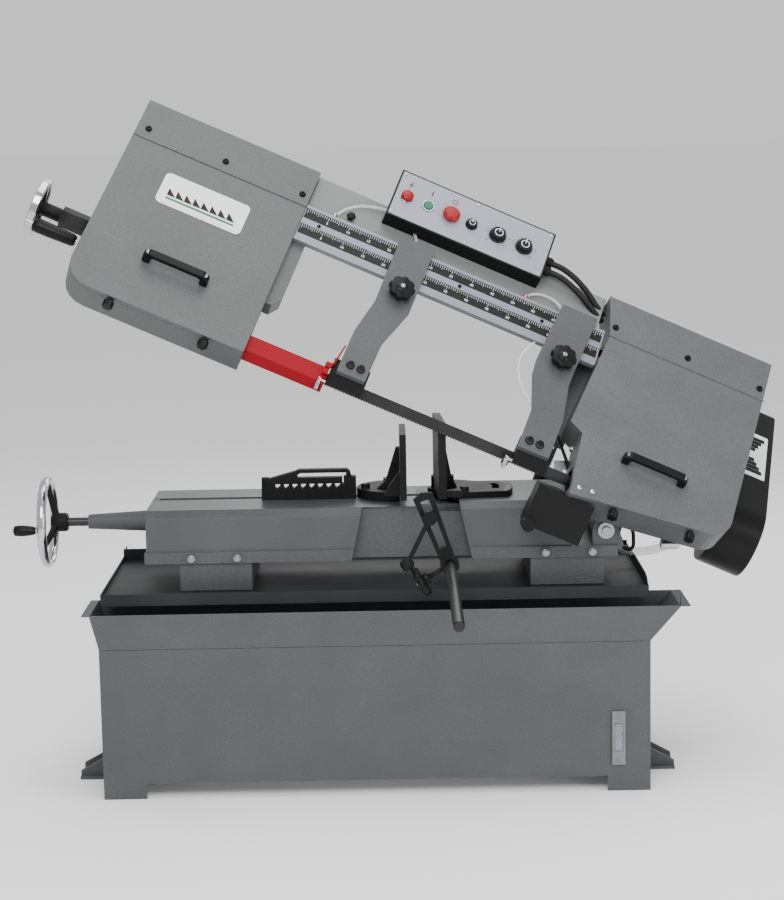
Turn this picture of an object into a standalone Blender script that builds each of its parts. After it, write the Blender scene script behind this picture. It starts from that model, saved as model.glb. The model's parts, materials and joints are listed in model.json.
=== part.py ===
"""Horizontal metal-cutting band saw on a cabinet stand.

World axes: +X to the operator's right, +Y away from the operator, +Z up, metres.
The saw head is drawn raised by HEAD_TILT about its pivot shaft, and its wheel boxes
lean back by LEAN, so each head piece is drawn in the leaned frame and then placed.
"""
import bpy
import bmesh
from math import acos, atan2, cos, hypot, pi, radians, sin
from mathutils import Matrix, Vector

# ---------------------------------------------------------------- driving dimensions
STAND_W = 1.200          # cabinet width
STAND_D = 0.460          # cabinet depth
SEAM_Z = 0.335           # top of the cabinet, underside of the trough
RIM_Z = 0.413            # rim of the coolant trough
TRAY_Z = 0.443           # top of the chip tray floor
FLANGE_Z = (0.506, 0.531)
TABLE_Z = 0.621          # vise table
BED_Y = (0.095, 0.385)
BED_X = (-0.504, 0.539)
VISE_Y = 0.262           # lead screw line
VISE_Z = 0.5732
PIVOT = (0.5135, 0.5635)  # head pivot, x and z
HEAD_TILT = radians(24.0)
LEAN = radians(40.0)
BLADE_Y = 0.045          # cutting plane
BLADE_UP = 0.0735        # blade line above the pivot, along the head
BLADE_W = 0.027
BLADE_T = 0.0009
WHEEL_R = 0.175
WHEEL_Z = 0.1758         # wheel axis above the lower strand
IDLER_X = -1.085
DRIVE_X = 0.050
BOX_F, BOX_B = -0.040, 0.038   # front and back of the wheel boxes
HINGE_Z = 0.377
SHEET = 0.003
GAP = 0.0004             # running gap between neighbouring pieces
SHIFT = Vector((-0.0794, -0.0093, 0.0))   # puts the centre of the footprint at the origin

BASE = Matrix.Identity(4)
ARM = Matrix.Translation((PIVOT[0], 0, PIVOT[1])) @ Matrix.Rotation(HEAD_TILT, 4, "Y")
HEAD = ARM @ Matrix.Translation((0, BLADE_Y, BLADE_UP)) @ Matrix.Rotation(-LEAN, 4, "X")

# ---------------------------------------------------------------- clean start
for ob in list(bpy.data.objects):
    bpy.data.objects.remove(ob, do_unlink=True)
scene = bpy.context.scene
tools = bpy.data.collections.new("cutters")
scene.collection.children.link(tools)

COLOURS = {
    "paint_grey": ((0.20, 0.21, 0.21), 0.45, 0.0),
    "plate_grey": ((0.30, 0.30, 0.29), 0.45, 0.0),
    "black_cast": ((0.02, 0.02, 0.022), 0.5, 0.0),
    "black_plastic": ((0.015, 0.015, 0.016), 0.4, 0.0),
    "chrome": ((0.75, 0.75, 0.76), 0.12, 1.0),
    "steel": ((0.45, 0.46, 0.47), 0.3, 1.0),
    "blade_steel": ((0.16, 0.16, 0.16), 0.4, 1.0),
    "red_paint": ((0.62, 0.02, 0.03), 0.4, 0.0),
    "green_plastic": ((0.02, 0.22, 0.11), 0.35, 0.0),
    "rubber": ((0.01, 0.01, 0.01), 0.7, 0.0),
}


def material(name, tint):
    rgb, rough, metal = COLOURS[tint]
    mat = bpy.data.materials.new(name + "_" + tint)
    mat.use_nodes = True
    bsdf = mat.node_tree.nodes["Principled BSDF"]
    bsdf.inputs["Base Color"].default_value = (*rgb, 1)
    bsdf.inputs["Roughness"].default_value = rough
    bsdf.inputs["Metallic"].default_value = metal
    return mat


# ---------------------------------------------------------------- solids, as (vertices, faces)
def box(x0, x1, y0, y1, z0, z1):
    pts = [(x0, y0), (x1, y0), (x1, y1), (x0, y1)]
    return prism(pts, z0, z1, "z")


def prism(pts, a, b, axis="y"):
    """Extrude a polygon: (x, z) along y, (x, y) along z, or (y, z) along x."""
    def put(p, t):
        return {"y": (p[0], t, p[1]), "z": (p[0], p[1], t), "x": (t, p[0], p[1])}[axis]
    n = len(pts)
    verts = [put(p, a) for p in pts] + [put(p, b) for p in pts]
    faces = [tuple(range(n)), tuple(range(2 * n - 1, n - 1, -1))]
    faces += [(i, (i + 1) % n, (i + 1) % n + n, i + n) for i in range(n)]
    return verts, faces


def turned(profile, centre=(0, 0, 0), axis="x", n=24, ring=False):
    """Revolve (radius, height) pairs about an axis through centre."""
    def put(r, h, t):
        a, b = r * cos(t), r * sin(t)
        p = {"x": (h, a, b), "y": (b, h, a), "z": (a, b, h)}[axis]
        return tuple(p[i] + centre[i] for i in range(3))
    verts, rows = [], []
    for r, h in profile:
        if r == 0:
            rows.append([len(verts)] * n)
            verts.append(put(0, h, 0))
        else:
            rows.append(list(range(len(verts), len(verts) + n)))
            verts += [put(r, h, 2 * pi * k / n) for k in range(n)]
    pairs = list(zip(rows, rows[1:])) + ([(rows[-1], rows[0])] if ring else [])
    faces = []
    for lo, hi in pairs:
        for k in range(n):
            f = [lo[k], lo[(k + 1) % n], hi[(k + 1) % n], hi[k]]
            f = [v for i, v in enumerate(f) if v not in f[:i]]
            if len(f) > 2:
                faces.append(tuple(f))
    return verts, faces


def rod(centre, r, a, b, axis="x", n=20):
    return turned([(0, a), (r, a), (r, b), (0, b)], centre, axis, n)


def pipe(centre, r_out, r_in, a, b, axis="x", n=24):
    return turned([(r_out, a), (r_out, b), (r_in, b), (r_in, a)], centre, axis, n, ring=True)


def torus(centre, r, t, axis="x", n=32, m=8, flat=1.0):
    prof = [(r + t * cos(2 * pi * k / m), t * flat * sin(2 * pi * k / m)) for k in range(m)]
    return turned(prof, centre, axis, n, ring=True)


def bar(p, q, r, n=12):
    """A round bar between two points."""
    p, q = Vector(p), Vector(q)
    turn = (q - p).to_track_quat("Z", "Y").to_matrix()
    verts, faces = rod((0, 0, 0), r, 0, (q - p).length, "z", n)
    return [tuple(p + turn @ Vector(v)) for v in verts], faces


def star(centre, r, a, b, axis="y", lobes=8):
    """A lobed hand knob."""
    pts = []
    for k in range(lobes * 4):
        t = 2 * pi * k / (lobes * 4)
        rr = r * (1.0 if k % 4 in (0, 1) else 0.84)
        pts.append((rr * cos(t), rr * sin(t)))
    verts, faces = prism(pts, a, b, axis)
    return moved((verts, faces), centre)


def moved(solid, by):
    return [tuple(v[i] + by[i] for i in range(3)) for v in solid[0]], solid[1]


def spun(solid, mat):
    return [tuple(mat @ Vector(v)) for v in solid[0]], solid[1]


def inset(pts, d):
    """Offset a polygon inward by d (outward if negative)."""
    n = len(pts)
    area = sum(pts[i][0] * pts[(i + 1) % n][1] - pts[(i + 1) % n][0] * pts[i][1] for i in range(n))
    s = 1 if area > 0 else -1
    lines = []
    for i in range(n):
        (x0, z0), (x1, z1) = pts[i], pts[(i + 1) % n]
        ln = hypot(x1 - x0, z1 - z0)
        nx, nz = -s * (z1 - z0) / ln, s * (x1 - x0) / ln
        lines.append((nx, nz, nx * x0 + nz * z0 + d))
    out = []
    for i in range(n):
        a, b = lines[i - 1], lines[i]
        det = a[0] * b[1] - a[1] * b[0]
        out.append(((a[2] * b[1] - b[2] * a[1]) / det, (a[0] * b[2] - b[0] * a[2]) / det))
    return out


def arc(cx, cz, r, a0, a1, n=6):
    return [(cx + r * cos(radians(a0 + (a1 - a0) * k / n)),
             cz + r * sin(radians(a0 + (a1 - a0) * k / n))) for k in range(n + 1)]


# ---------------------------------------------------------------- nodes
def raw(name, solids, frame, pivot):
    verts, faces = [], []
    for v, f in solids:
        base = len(verts)
        verts += [tuple(p[i] - pivot[i] for i in range(3)) for p in v]
        faces += [tuple(i + base for i in face) for face in f]
    mesh = bpy.data.meshes.new(name)
    mesh.from_pydata(verts, [], faces)
    bm = bmesh.new()
    bm.from_mesh(mesh)
    bmesh.ops.recalc_face_normals(bm, faces=bm.faces)
    bm.to_mesh(mesh)
    bm.free()
    ob = bpy.data.objects.new(name, mesh)
    ob.matrix_world = Matrix.Translation(SHIFT) @ frame @ Matrix.Translation(pivot)
    return ob


def node(name, tint, solid, add=(), cut=(), frame=BASE, pivot=(0, 0, 0), smooth=32):
    """One named piece: a first solid, solids welded on, then solids cut away."""
    ob = raw(name, [solid], frame, pivot)
    scene.collection.objects.link(ob)
    ob.data.materials.append(material(name, tint))
    steps = [("UNION", s) for s in add] + [("DIFFERENCE", s) for s in cut]
    for k, (kind, tool) in enumerate(steps):
        cutter = raw("%s_tool_%02d" % (name, k), [tool], frame, pivot)
        tools.objects.link(cutter)
        cutter.hide_render = True
        cutter.display_type = "WIRE"
        mod = ob.modifiers.new(kind.lower(), "BOOLEAN")
        mod.operation = kind
        mod.solver = "EXACT"
        mod.object = cutter
    ob.data.shade_smooth()
    ob.data.set_sharp_from_angle(angle=radians(smooth))
    return ob


# ================================================================ stand
half = STAND_W / 2


def anchor(side):
    """Floor bracket with two gussets, welded to a cabinet side."""
    x0, x1 = side * (half - 0.004), side * (half + 0.074)
    plate = box(min(x0, x1), max(x0, x1), 0.150, 0.250, 0.0, 0.006)
    tri = [(x0, 0.004), (x1, 0.004), (x1, 0.016), (side * (half + 0.002), 0.055), (x0, 0.055)]
    return [plate, prism(tri, 0.166, 0.172), prism(tri, 0.228, 0.234)]


cabinet_face = [(-half, 0), (-0.506, 0), (-0.506, 0.034), (0.506, 0.034), (0.506, 0), (half, 0),
                (half, SEAM_Z), (-half, SEAM_Z)]
node("cabinet", "paint_grey", prism(cabinet_face, 0, STAND_D),
     add=[box(-0.575, 0.575, 0.170, 0.445, SEAM_Z - 0.002, 0.4255)]
     + anchor(-1) + anchor(1)
     + [rod((-half, 0.14, 0.262), 0.008, -0.012, 0.002, "x", 12)],
     cut=[box(-half + 0.004, half - 0.004, 0.004, STAND_D - 0.004, -0.01, SEAM_Z - 0.004),
          box(-0.571, 0.571, 0.174, 0.441, 0.30, 0.4215),
          box(-0.500, 0.500, STAND_D - 0.01, STAND_D + 0.01, 0.07, 0.29),
          rod((-half - 0.055, 0.200, 0), 0.007, -0.01, 0.02, "z", 12),
          rod((half + 0.055, 0.200, 0), 0.007, -0.01, 0.02, "z", 12),
          box(0.515, 0.545, -0.01, 0.01, 0.082, 0.162)])

# coolant trough: flared gutter above the cabinet front, with small side flanges
trough_out = [(-0.5995, SEAM_Z + 0.0005), (0.5995, SEAM_Z + 0.0005), (0.668, RIM_Z), (-0.619, RIM_Z)]
node("trough", "paint_grey", prism(trough_out, 0.0, 0.160),
     add=[box(0.660, 0.687, 0.0, 0.160, RIM_Z - 0.0025, RIM_Z),
          box(-0.636, -0.612, 0.0, 0.160, RIM_Z - 0.0025, RIM_Z)],
     cut=[prism([(-0.5965, SEAM_Z + 0.0035), (0.5965, SEAM_Z + 0.0035),
                 (0.6675, RIM_Z + 0.003), (-0.6175, RIM_Z + 0.003)], 0.003, 0.157)])

# chip tray: lipped pan with a low upstand on three sides
node("chip_tray", "steel", box(-0.5965, 0.600, 0.030, 0.455, 0.4262, TRAY_Z + 0.010),
     add=[box(-0.5905, -0.5875, 0.042, 0.4525, 0.440, 0.477),
          box(-0.5965, 0.600, 0.452, 0.455, 0.440, 0.470),
          prism([(0.042, 0.440), (0.455, 0.440), (0.455, 0.464), (0.25, 0.469), (0.09, 0.469),
                 (0.060, 0.464), (0.042, 0.452)], 0.597, 0.600, "x")],
     cut=[box(-0.5935, 0.597, 0.033, 0.452, TRAY_Z, 0.53),
          box(-0.590, 0.590, 0.045, 0.160, 0.40, TRAY_Z - 0.003)])

node("pedestal_left", "paint_grey", box(-0.428, -0.268, 0.096, 0.380, TRAY_Z + GAP, 0.506 - GAP),
     cut=[box(-0.418, -0.278, 0.106, 0.370, 0.42, 0.496)])
node("pedestal_right", "paint_grey", box(0.346, 0.510, 0.096, 0.380, TRAY_Z + GAP, 0.506 - GAP),
     cut=[box(0.356, 0.500, 0.106, 0.370, 0.42, 0.496)])

# sight gauge on the cabinet front
node("sight_gauge", "chrome", box(0.5155, 0.5445, -0.006, -0.0004, 0.060, 0.180),
     add=[box(0.5165, 0.5435, -0.002, 0.012, 0.084, 0.160),
          rod((0.530, 0, 0.070), 0.0045, -0.008, -0.004, "y", 12),
          rod((0.530, 0, 0.170), 0.0045, -0.008, -0.004, "y", 12)],
     cut=[box(0.5205, 0.5395, -0.010, -0.003, 0.090, 0.154)])

# ================================================================ bed and vise
y0, y1 = BED_Y
ear = [(0.484, 0.526), (0.553, 0.526)] + arc(PIVOT[0], PIVOT[1], 0.030, 0, 180, 10)
slant = [(-0.051, 0.49), (0.221, 0.49), (0.187, TABLE_Z + 0.03), (-0.017, TABLE_Z + 0.03)]
LIFT_Y = 0.425                     # lift cylinder behind the bed
LIFT_R = 0.1763                    # both lift pins sit this far from the head pivot
LIFT_ANGLE = (radians(202.0), radians(117.0))   # lower and upper pin directions at rest
LIFT_BASE = tuple(PIVOT[i] + LIFT_R * f(LIFT_ANGLE[0]) for i, f in enumerate((cos, sin)))
LIFT_TOP = tuple(PIVOT[i] + LIFT_R * f(LIFT_ANGLE[1]) for i, f in enumerate((cos, sin)))
LIFT_LEN = hypot(LIFT_TOP[0] - LIFT_BASE[0], LIFT_TOP[1] - LIFT_BASE[1])
node("bed", "paint_grey", box(-0.500, 0.440, y0, y1, 0.529, TABLE_Z),
     add=[box(BED_X[0], BED_X[1], y0 - 0.006, y1, *FLANGE_Z),
          box(0.192, 0.4395, y0 + 0.001, y1 - 0.001, 0.56, TABLE_Z + 0.010),
          prism(ear, y0, y0 + 0.018), prism(ear, y1 - 0.022, y1),
          box(LIFT_BASE[0] - 0.0205, LIFT_BASE[0] + 0.0205, y1 - 0.004, LIFT_Y - 0.0245,
              LIFT_BASE[1] + 0.002, 0.55),
          rod((LIFT_BASE[0], 0, LIFT_BASE[1]), 0.022, y1 - 0.0044, LIFT_Y - 0.0235, "y", 20),
          rod((LIFT_BASE[0], 0, LIFT_BASE[1]), 0.0125, y1 - 0.0044, LIFT_Y - 0.0143, "y", 16),
          rod((LIFT_BASE[0], 0, LIFT_BASE[1]), 0.008, y1 - 0.002, LIFT_Y + 0.016, "y", 16)]
     + [turned([(0, -0.648), (0.0165, -0.648), (0.0235, -0.514), (0.030, -0.513), (0.030, -0.497),
                (0, -0.497)], (0, VISE_Y, VISE_Z), "x", 24)]
     + [rod((x, 0, 0.519), 0.0065, y0 - 0.012, y0 - 0.004, "y", 6) for x in
        (-0.400, -0.299, 0.379, 0.482)],
     cut=[prism(slant, y0 - 0.02, y0 + 0.030),
          prism([(y0 - 0.01, 0.5999), (y0 - 0.01, 0.645), (y0 + 0.020, 0.645), (y0 + 0.020, TABLE_Z)],
                -0.52, -0.01, "x"),
          prism([(y0 - 0.01, 0.6109), (y0 - 0.01, 0.655), (y0 + 0.020, 0.655), (y0 + 0.020, 0.632)],
                0.18, 0.45, "x"),
          box(-0.488, 0.428, y0 + 0.046, y1 - 0.014, 0.49, TABLE_Z - 0.018),
          box(0.100, 0.192, y0 + 0.028, y0 + 0.046, TABLE_Z - 0.014, TABLE_Z + 0.02),
          box(-0.486, 0.105, VISE_Y - 0.012, VISE_Y + 0.012, 0.59, 0.64),
          rod((0, VISE_Y, VISE_Z), 0.0112, -0.67, -0.48, "x", 18),
          rod((PIVOT[0], 0, PIVOT[1]), 0.0129, 0.05, 0.45, "y", 20)])

WHEEL_X = -0.741
rim_c = (WHEEL_X, VISE_Y, VISE_Z)


def spokes(centre, r, t, axis_shift, count=3, start=90):
    out = []
    for k in range(count):
        a = radians(start + 360 * k / count)
        tip = (centre[0], centre[1] + r * cos(a), centre[2] + r * sin(a))
        out.append(bar((centre[0] + axis_shift, centre[1], centre[2]), tip, t, 10))
    return out


crank_c = (WHEEL_X, VISE_Y - 0.095, VISE_Z - 0.001)
node("vise_handwheel", "chrome", torus(rim_c, 0.0955, 0.0085, "x", 32, 8, 1.3),
     add=[rod((0, VISE_Y, VISE_Z), 0.0215, -0.734, -0.694, "x", 20),
          rod((0, VISE_Y, VISE_Z), 0.0100, -0.700, 0.052, "x", 16)]
     + spokes(rim_c, 0.095, 0.0065, 0.018)
     + [rod(crank_c, 0.005, -0.064, 0.0, "x", 12)],
     pivot=(0, VISE_Y, VISE_Z))
node("vise_crank", "black_plastic",
     turned([(0.0054, -0.061), (0.0105, -0.061), (0.0125, -0.040), (0.0105, -0.018),
             (0.0075, -0.0125), (0.0054, -0.0125)], crank_c, "x", 16, ring=True), pivot=crank_c)

# movable side: carriage with nut, rack bar and lifting rack handle, swivelling jaw
JAW_Z = TABLE_Z + GAP
MOV = (0.050, VISE_Y)               # swivel centre of the movable jaw, x and y
half_disc = [(0.061, VISE_Y - 0.086), (0.061, VISE_Y + 0.086)] \
    + arc(MOV[0], MOV[1], 0.086, 90, 270, 12)
node("vise_carriage", "black_cast", prism(half_disc, JAW_Z, 0.643, "z"),
     add=[box(-0.025, 0.055, VISE_Y - 0.0110, VISE_Y + 0.0110, 0.590, 0.630),
          box(-0.025, 0.055, VISE_Y - 0.022, VISE_Y + 0.022, 0.552, 0.6020),
          rod((MOV[0], MOV[1], 0), 0.012, 0.640, 0.6600, "z", 16),
          rod((-0.016, 0.238, 0), 0.010, 0.641, 0.654, "z", 6)],
     cut=[rod((0, VISE_Y, VISE_Z), 0.0104, -0.1, 0.1, "x", 16)])

node("movable_jaw", "black_cast", box(0.0615, 0.0755, 0.060, 0.235, 0.6436, 0.789),
     add=[box(0.0615, 0.0755, 0.230, 0.300, 0.6436, 0.700),
          prism([(0.063, 0.737), (0.063, 0.6436), (0.010, 0.6436), (0.030, 0.662), (0.054, 0.738)],
                0.222, 0.240),
          prism([(0.063, 0.70), (0.063, 0.6436), (0.026, 0.6436), (0.034, 0.662)], 0.124, 0.136),
          rod((MOV[0], MOV[1], 0), 0.026, 0.6436, 0.662, "z", 20)],
     cut=[rod((MOV[0], MOV[1], 0), 0.0124, 0.63, 0.68, "z", 16)],
     pivot=(MOV[0], MOV[1], 0.65))

ry = VISE_Y - 0.036                 # front face of the rack bar
RACK_PIN = (-0.2435, ry + 0.0115, 0.6655)
windows = []
for k in range(8):
    x = -0.2197 + 0.0193 * k
    windows.append(prism([(x, 0.6500), (x + 0.0040, 0.6460), (x + 0.0110, 0.6520), (x + 0.0135, 0.67),
                          (x, 0.67)], ry - 0.02, ry + 0.04))
node("rack_bar", "black_cast", box(-0.2505, -0.0370, ry, ry + 0.023, JAW_Z, 0.6560),
     add=[box(-0.2505, -0.2385, ry + 0.0060, ry + 0.0170, 0.652, 0.6720),
          box(-0.0650, -0.0370, ry, ry + 0.023, 0.650, 0.6725)],
     cut=windows + [rod((RACK_PIN[0], 0, RACK_PIN[2]), 0.0033, 0.15, 0.30, "y", 12)])
handle = [(-0.2350, 0.6568), (-0.0680, 0.6568), (-0.0680, 0.6735), (-0.0480, 0.6735),
          (-0.0500, 0.6835), (-0.0570, 0.6895), (-0.1660, 0.6895), (-0.1740, 0.6855),
          (-0.2310, 0.6700), (-0.2350, 0.6670)]
grip_gap = [(-0.1690, 0.6710), (-0.0640, 0.6710), (-0.0600, 0.6740), (-0.0590, 0.6815),
            (-0.1620, 0.6815), (-0.1690, 0.6770)]
cheek = [(-0.249, 0.6580), (-0.2330, 0.6580), (-0.2330, 0.6705), (-0.2470, 0.6710)]
node("rack_handle", "black_cast", prism(handle, ry + 0.0005, ry + 0.0225),
     add=[rod((RACK_PIN[0], 0, RACK_PIN[2]), 0.0029, ry - 0.002, ry + 0.025, "y", 12),
          prism(cheek, ry + 0.0005, ry + 0.0055), prism(cheek, ry + 0.0175, ry + 0.0225)],
     cut=[prism(grip_gap, ry - 0.02, ry + 0.04)],
     pivot=RACK_PIN)

# fixed side: graduated quadrant on the table, swivelling jaw over it
FIX = (0.158, 0.225)
fan = arc(FIX[0], FIX[1], 0.158, -25, 24, 10) + arc(FIX[0], FIX[1], 0.105, 48, 92, 4) \
    + arc(FIX[0], FIX[1], 0.034, 130, 230, 4) + arc(FIX[0], FIX[1], 0.088, -75, -62, 2)
slot = arc(FIX[0], FIX[1], 0.128, -14, 18, 6) + arc(FIX[0], FIX[1], 0.112, 18, -14, 6)
node("quadrant", "black_cast", prism(fan, TABLE_Z + 0.0104, 0.645, "z"),
     add=[rod((FIX[0], FIX[1], 0), 0.0335, TABLE_Z + GAP, 0.645, "z", 24),
          rod((FIX[0], FIX[1], 0), 0.012, 0.644, 0.668, "z", 16),
          rod((0.205, 0.162, 0), 0.010, 0.643, 0.656, "z", 6)],
     cut=[prism(slot, 0.62, 0.66, "z")])
jaw_turn = Matrix.Translation((FIX[0], FIX[1], 0)) @ Matrix.Rotation(radians(2.9), 4, "Z") \
    @ Matrix.Translation((-FIX[0], -FIX[1], 0))
fixed = [box(0.1375, 0.1545, 0.060, 0.235, 0.6456, 0.813),
         box(0.1500, 0.1900, 0.085, 0.100, 0.6456, 0.6600),
         prism([(0.153, 0.749), (0.163, 0.749), (0.177, 0.674), (0.190, 0.6456), (0.153, 0.6456)],
               0.214, 0.236),
         rod((FIX[0], FIX[1], 0), 0.026, 0.6456, 0.672, "z", 20)]
fixed = [spun(f, jaw_turn) for f in fixed]
node("fixed_jaw", "black_cast", fixed[0], add=fixed[1:],
     cut=[rod((FIX[0], FIX[1], 0), 0.0124, 0.62, 0.6685, "z", 16)],
     pivot=(FIX[0], FIX[1], 0.65))

# work stop
ROD_C = (0.165, 0, 0.5185)
node("stop_rod", "steel", turned([(0, -0.600), (0.0095, -0.600), (0.0115, -0.598), (0.0115, 0.1246),
                                  (0, 0.1246)], ROD_C, "y", 20))
sy = -0.024
up = Vector((-0.056, 0, 0.150)).normalized()
side = Vector((up.z, 0, -up.x))


def along(a, b):
    v = Vector(ROD_C) + up * a + side * b
    return (v.x, v.z)


arm_out = [along(0.010, -0.016), along(0.160, -0.022), along(0.168, 0.0), along(0.160, 0.022),
           along(0.010, 0.016)]
arm_slot = [along(0.040, -0.008), along(0.150, -0.010), along(0.150, 0.010), along(0.040, 0.008)]
node("stop_arm", "black_cast", prism(arm_out, sy - 0.006, sy + 0.006),
     add=[rod(ROD_C, 0.0205, sy - 0.012, sy + 0.012, "y", 20)],
     cut=[rod(ROD_C, 0.0119, sy - 0.03, sy + 0.03, "y", 20), prism(arm_slot, sy - 0.02, sy + 0.02)],
     pivot=(ROD_C[0], sy, ROD_C[2]))
hub = (0.1234, sy, 0.6229)
ball = (0.073, sy - 0.030, 0.526)
node("stop_lever", "black_cast", rod(hub, 0.0155, -0.0225, -0.0066, "y", 16),
     add=[rod(hub, 0.0058, -0.008, 0.014, "y", 12),
          rod(hub, 0.0125, 0.0066, 0.016, "y", 6),
          bar((hub[0], sy - 0.015, hub[2]), ball, 0.0048, 10),
          turned([(0, -0.0155), (0.0085, -0.0125), (0.0145, -0.005), (0.0155, 0.0), (0.0145, 0.005),
                  (0.0085, 0.0125), (0, 0.0155)], ball, "z", 14)],
     pivot=hub)
knob_c = Vector((0.104, sy, 0.482))
knob_dir = (Vector(ROD_C) + Vector((0, sy, 0)) - knob_c).normalized()
knob_m = Matrix.Translation(knob_c) @ knob_dir.to_track_quat("Y", "Z").to_matrix().to_4x4()
node("stop_knob", "black_plastic", spun(star((0, 0, 0), 0.036, -0.008, 0.007, "y"), knob_m),
     add=[spun(rod((0, 0, 0), 0.012, 0.005, 0.018, "y", 14), knob_m),
          spun(rod((0, 0, 0), 0.005, 0.015, (Vector(ROD_C) + Vector((0, sy, 0)) - knob_c).length
                   - 0.0210, "y", 12), knob_m)],
     pivot=tuple(knob_c))

# ================================================================ head: boxes, beam, rail
left_out = [(-1.298, 0.482), (-0.883, 0.482), (-0.883, -0.042)] + arc(-1.240, 0.016, 0.058, 270, 180, 5)
right_out = [(-0.170, 0.482), (0.233, 0.482)] + arc(0.186, 0.040, 0.050, 0, -75, 5) \
    + [(-0.124, -0.052), (-0.137, 0.104), (-0.170, 0.122), (-0.143, 0.380)]


def below(pts, z, top_left, top_right):
    """The part of an outline under the hinge line."""
    return [(top_left, z), (top_right, z)] + [p for p in pts if p[1] < 0.30]


left_low = below(left_out, HINGE_Z - 0.001, -1.298, -0.883)
right_low = below(right_out, HINGE_Z - 0.001, -0.1434, 0.2338)


strip_l = [(-1.298, 0.482), (-0.883, 0.482), (-0.883, HINGE_Z + 0.001), (-1.298, HINGE_Z + 0.001)]
strip_r = [(-0.170, 0.482), (0.233, 0.482), (0.2338, HINGE_Z + 0.001), (-0.1434, HINGE_Z + 0.001)]
node("wheel_box_left", "paint_grey", prism(left_low, -0.0272, BOX_B),
     add=[prism(strip_l, BOX_F, BOX_B),
          box(-1.298, -0.883, -0.026, BOX_B, HINGE_Z - 0.01, HINGE_Z + 0.01),
          box(-1.298, -1.286, BOX_B - 0.002, 0.112, 0.130, 0.222),
          box(-1.200, -0.960, BOX_B - 0.001, 0.050, 0.118, 0.1270),
          box(-1.200, -0.960, BOX_B - 0.001, 0.050, 0.2246, 0.2336),
          prism([(-0.884, 0.326), (-0.852, 0.326), (-0.852, 0.135), (-0.868, 0.110),
                 (-0.884, 0.110)], -0.020, 0.020),
          rod((0, 0.0745, WHEEL_Z), 0.0205, -1.3728, -1.296, "x", 6)],
     cut=[prism(inset(left_low, SHEET), -0.06, BOX_B - SHEET),
          box(-1.295, -0.886, BOX_F + SHEET, BOX_B - SHEET, HINGE_Z - 0.02, 0.479),
          box(-0.90, -0.86, -0.036, 0.026, -0.039, 0.034),
          box(-0.90, -0.86, -0.019, 0.021, 0.331, 0.371),
          box(-1.125, -1.045, 0.02, 0.048, WHEEL_Z - 0.0155, WHEEL_Z + 0.0155),
          rod((0, 0.0745, WHEEL_Z), 0.0108, -1.40, -1.27, "x", 20)],
     frame=HEAD)
node("wheel_box_right", "paint_grey", prism(right_low, -0.0272, BOX_B),
     add=[prism(strip_r, BOX_F, BOX_B),
          prism([(-0.1420, HINGE_Z - 0.01), (0.2335, HINGE_Z - 0.01), (0.2335, HINGE_Z + 0.01),
                 (-0.1440, HINGE_Z + 0.01)], -0.026, BOX_B),
          prism([(-0.1450, 0.345), (-0.2350, 0.345), (-0.2350, 0.115), (-0.1650, 0.115)],
                BOX_B - 0.012, BOX_B)],
     cut=[prism(inset(right_low, SHEET), -0.06, BOX_B - SHEET),
          prism([(-0.1380, HINGE_Z - 0.02), (0.2300, HINGE_Z - 0.02), (0.2300, 0.479),
                 (-0.1640, 0.479), (-0.1395, HINGE_Z + 0.001)], BOX_F + SHEET, BOX_B - SHEET),
          box(-0.16, -0.118, -0.019, 0.021, 0.331, 0.371),
          box(-0.15, -0.110, -0.022, 0.024, -0.030, 0.030),
          rod((DRIVE_X, 0, WHEEL_Z), 0.0215, 0.02, 0.06, "y", 24)],
     frame=HEAD)


def door(name, low, handle_x):
    pan = inset(low, 0.002)
    top = max(p[1] for p in low)
    open_top = [(x, z + 0.02) if z > top - 0.004 else (x, z) for x, z in pan]
    node(name, "paint_grey", prism(low, BOX_F, -0.0277),
         cut=[prism(open_top, BOX_F + 0.002, -0.02)],
         frame=HEAD, pivot=(low[0][0], BOX_F, HINGE_Z))
    grip = [(-0.075, 0), (-0.075, -0.022), (-0.062, -0.034), (0.062, -0.034), (0.075, -0.022),
            (0.075, 0), (0.057, 0), (0.057, -0.016), (0.052, -0.021), (-0.052, -0.021),
            (-0.057, -0.016), (-0.057, 0)]
    grip = [(handle_x + x, BOX_F - GAP + y) for x, y in grip]
    node(name.replace("door", "handle"), "black_plastic", prism(grip, 0.070, 0.088, "z"), frame=HEAD)


door("door_left", left_low, -1.0860)
door("door_right", right_low, 0.0365)


def latch(name, x, z):
    c = (x, -0.0270, z)
    node(name, "black_plastic", star(c, 0.0115, -0.022, -0.006, "z", 6),
         add=[rod(c, 0.0075, -0.008, -0.0008, "z", 12)], frame=HEAD, pivot=c)


latch("latch_left_outer", -1.185, -0.042)
latch("latch_left_inner", -0.969, -0.042)


def under(x):
    """Lower edge of the right box, which slopes up toward its outer end."""
    (xa, za), (xb, zb) = (-0.124, -0.052), arc(0.186, 0.040, 0.050, 0, -75, 5)[-1]
    return za + (zb - za) * (x - xa) / (xb - xa)


latch("latch_right_inner", -0.019, under(-0.019) - 0.0022)
latch("latch_right_outer", 0.156, under(0.156) - 0.0022)

# beam: hollow box section between the wheel boxes, carrying the rail and the lift bracket
BEAM_X = (-0.8826, -0.1735)
node("beam", "plate_grey", box(BEAM_X[0], BEAM_X[1], -0.0215, 0.019, 0.334, 0.484),
     cut=[box(-0.9, -0.1, -0.0180, 0.0155, 0.3375, 0.4805)], frame=HEAD)
RAIL_END = -0.156
node("rail", "steel", box(-0.8826, RAIL_END, -0.0350, -0.0219, 0.288, 0.388),
     cut=[box(-0.9, -0.1, -0.040, -0.0335, 0.352, 0.380),
          box(-0.9, -0.1, -0.040, -0.0335, 0.308, 0.336)],
     frame=HEAD)

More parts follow.
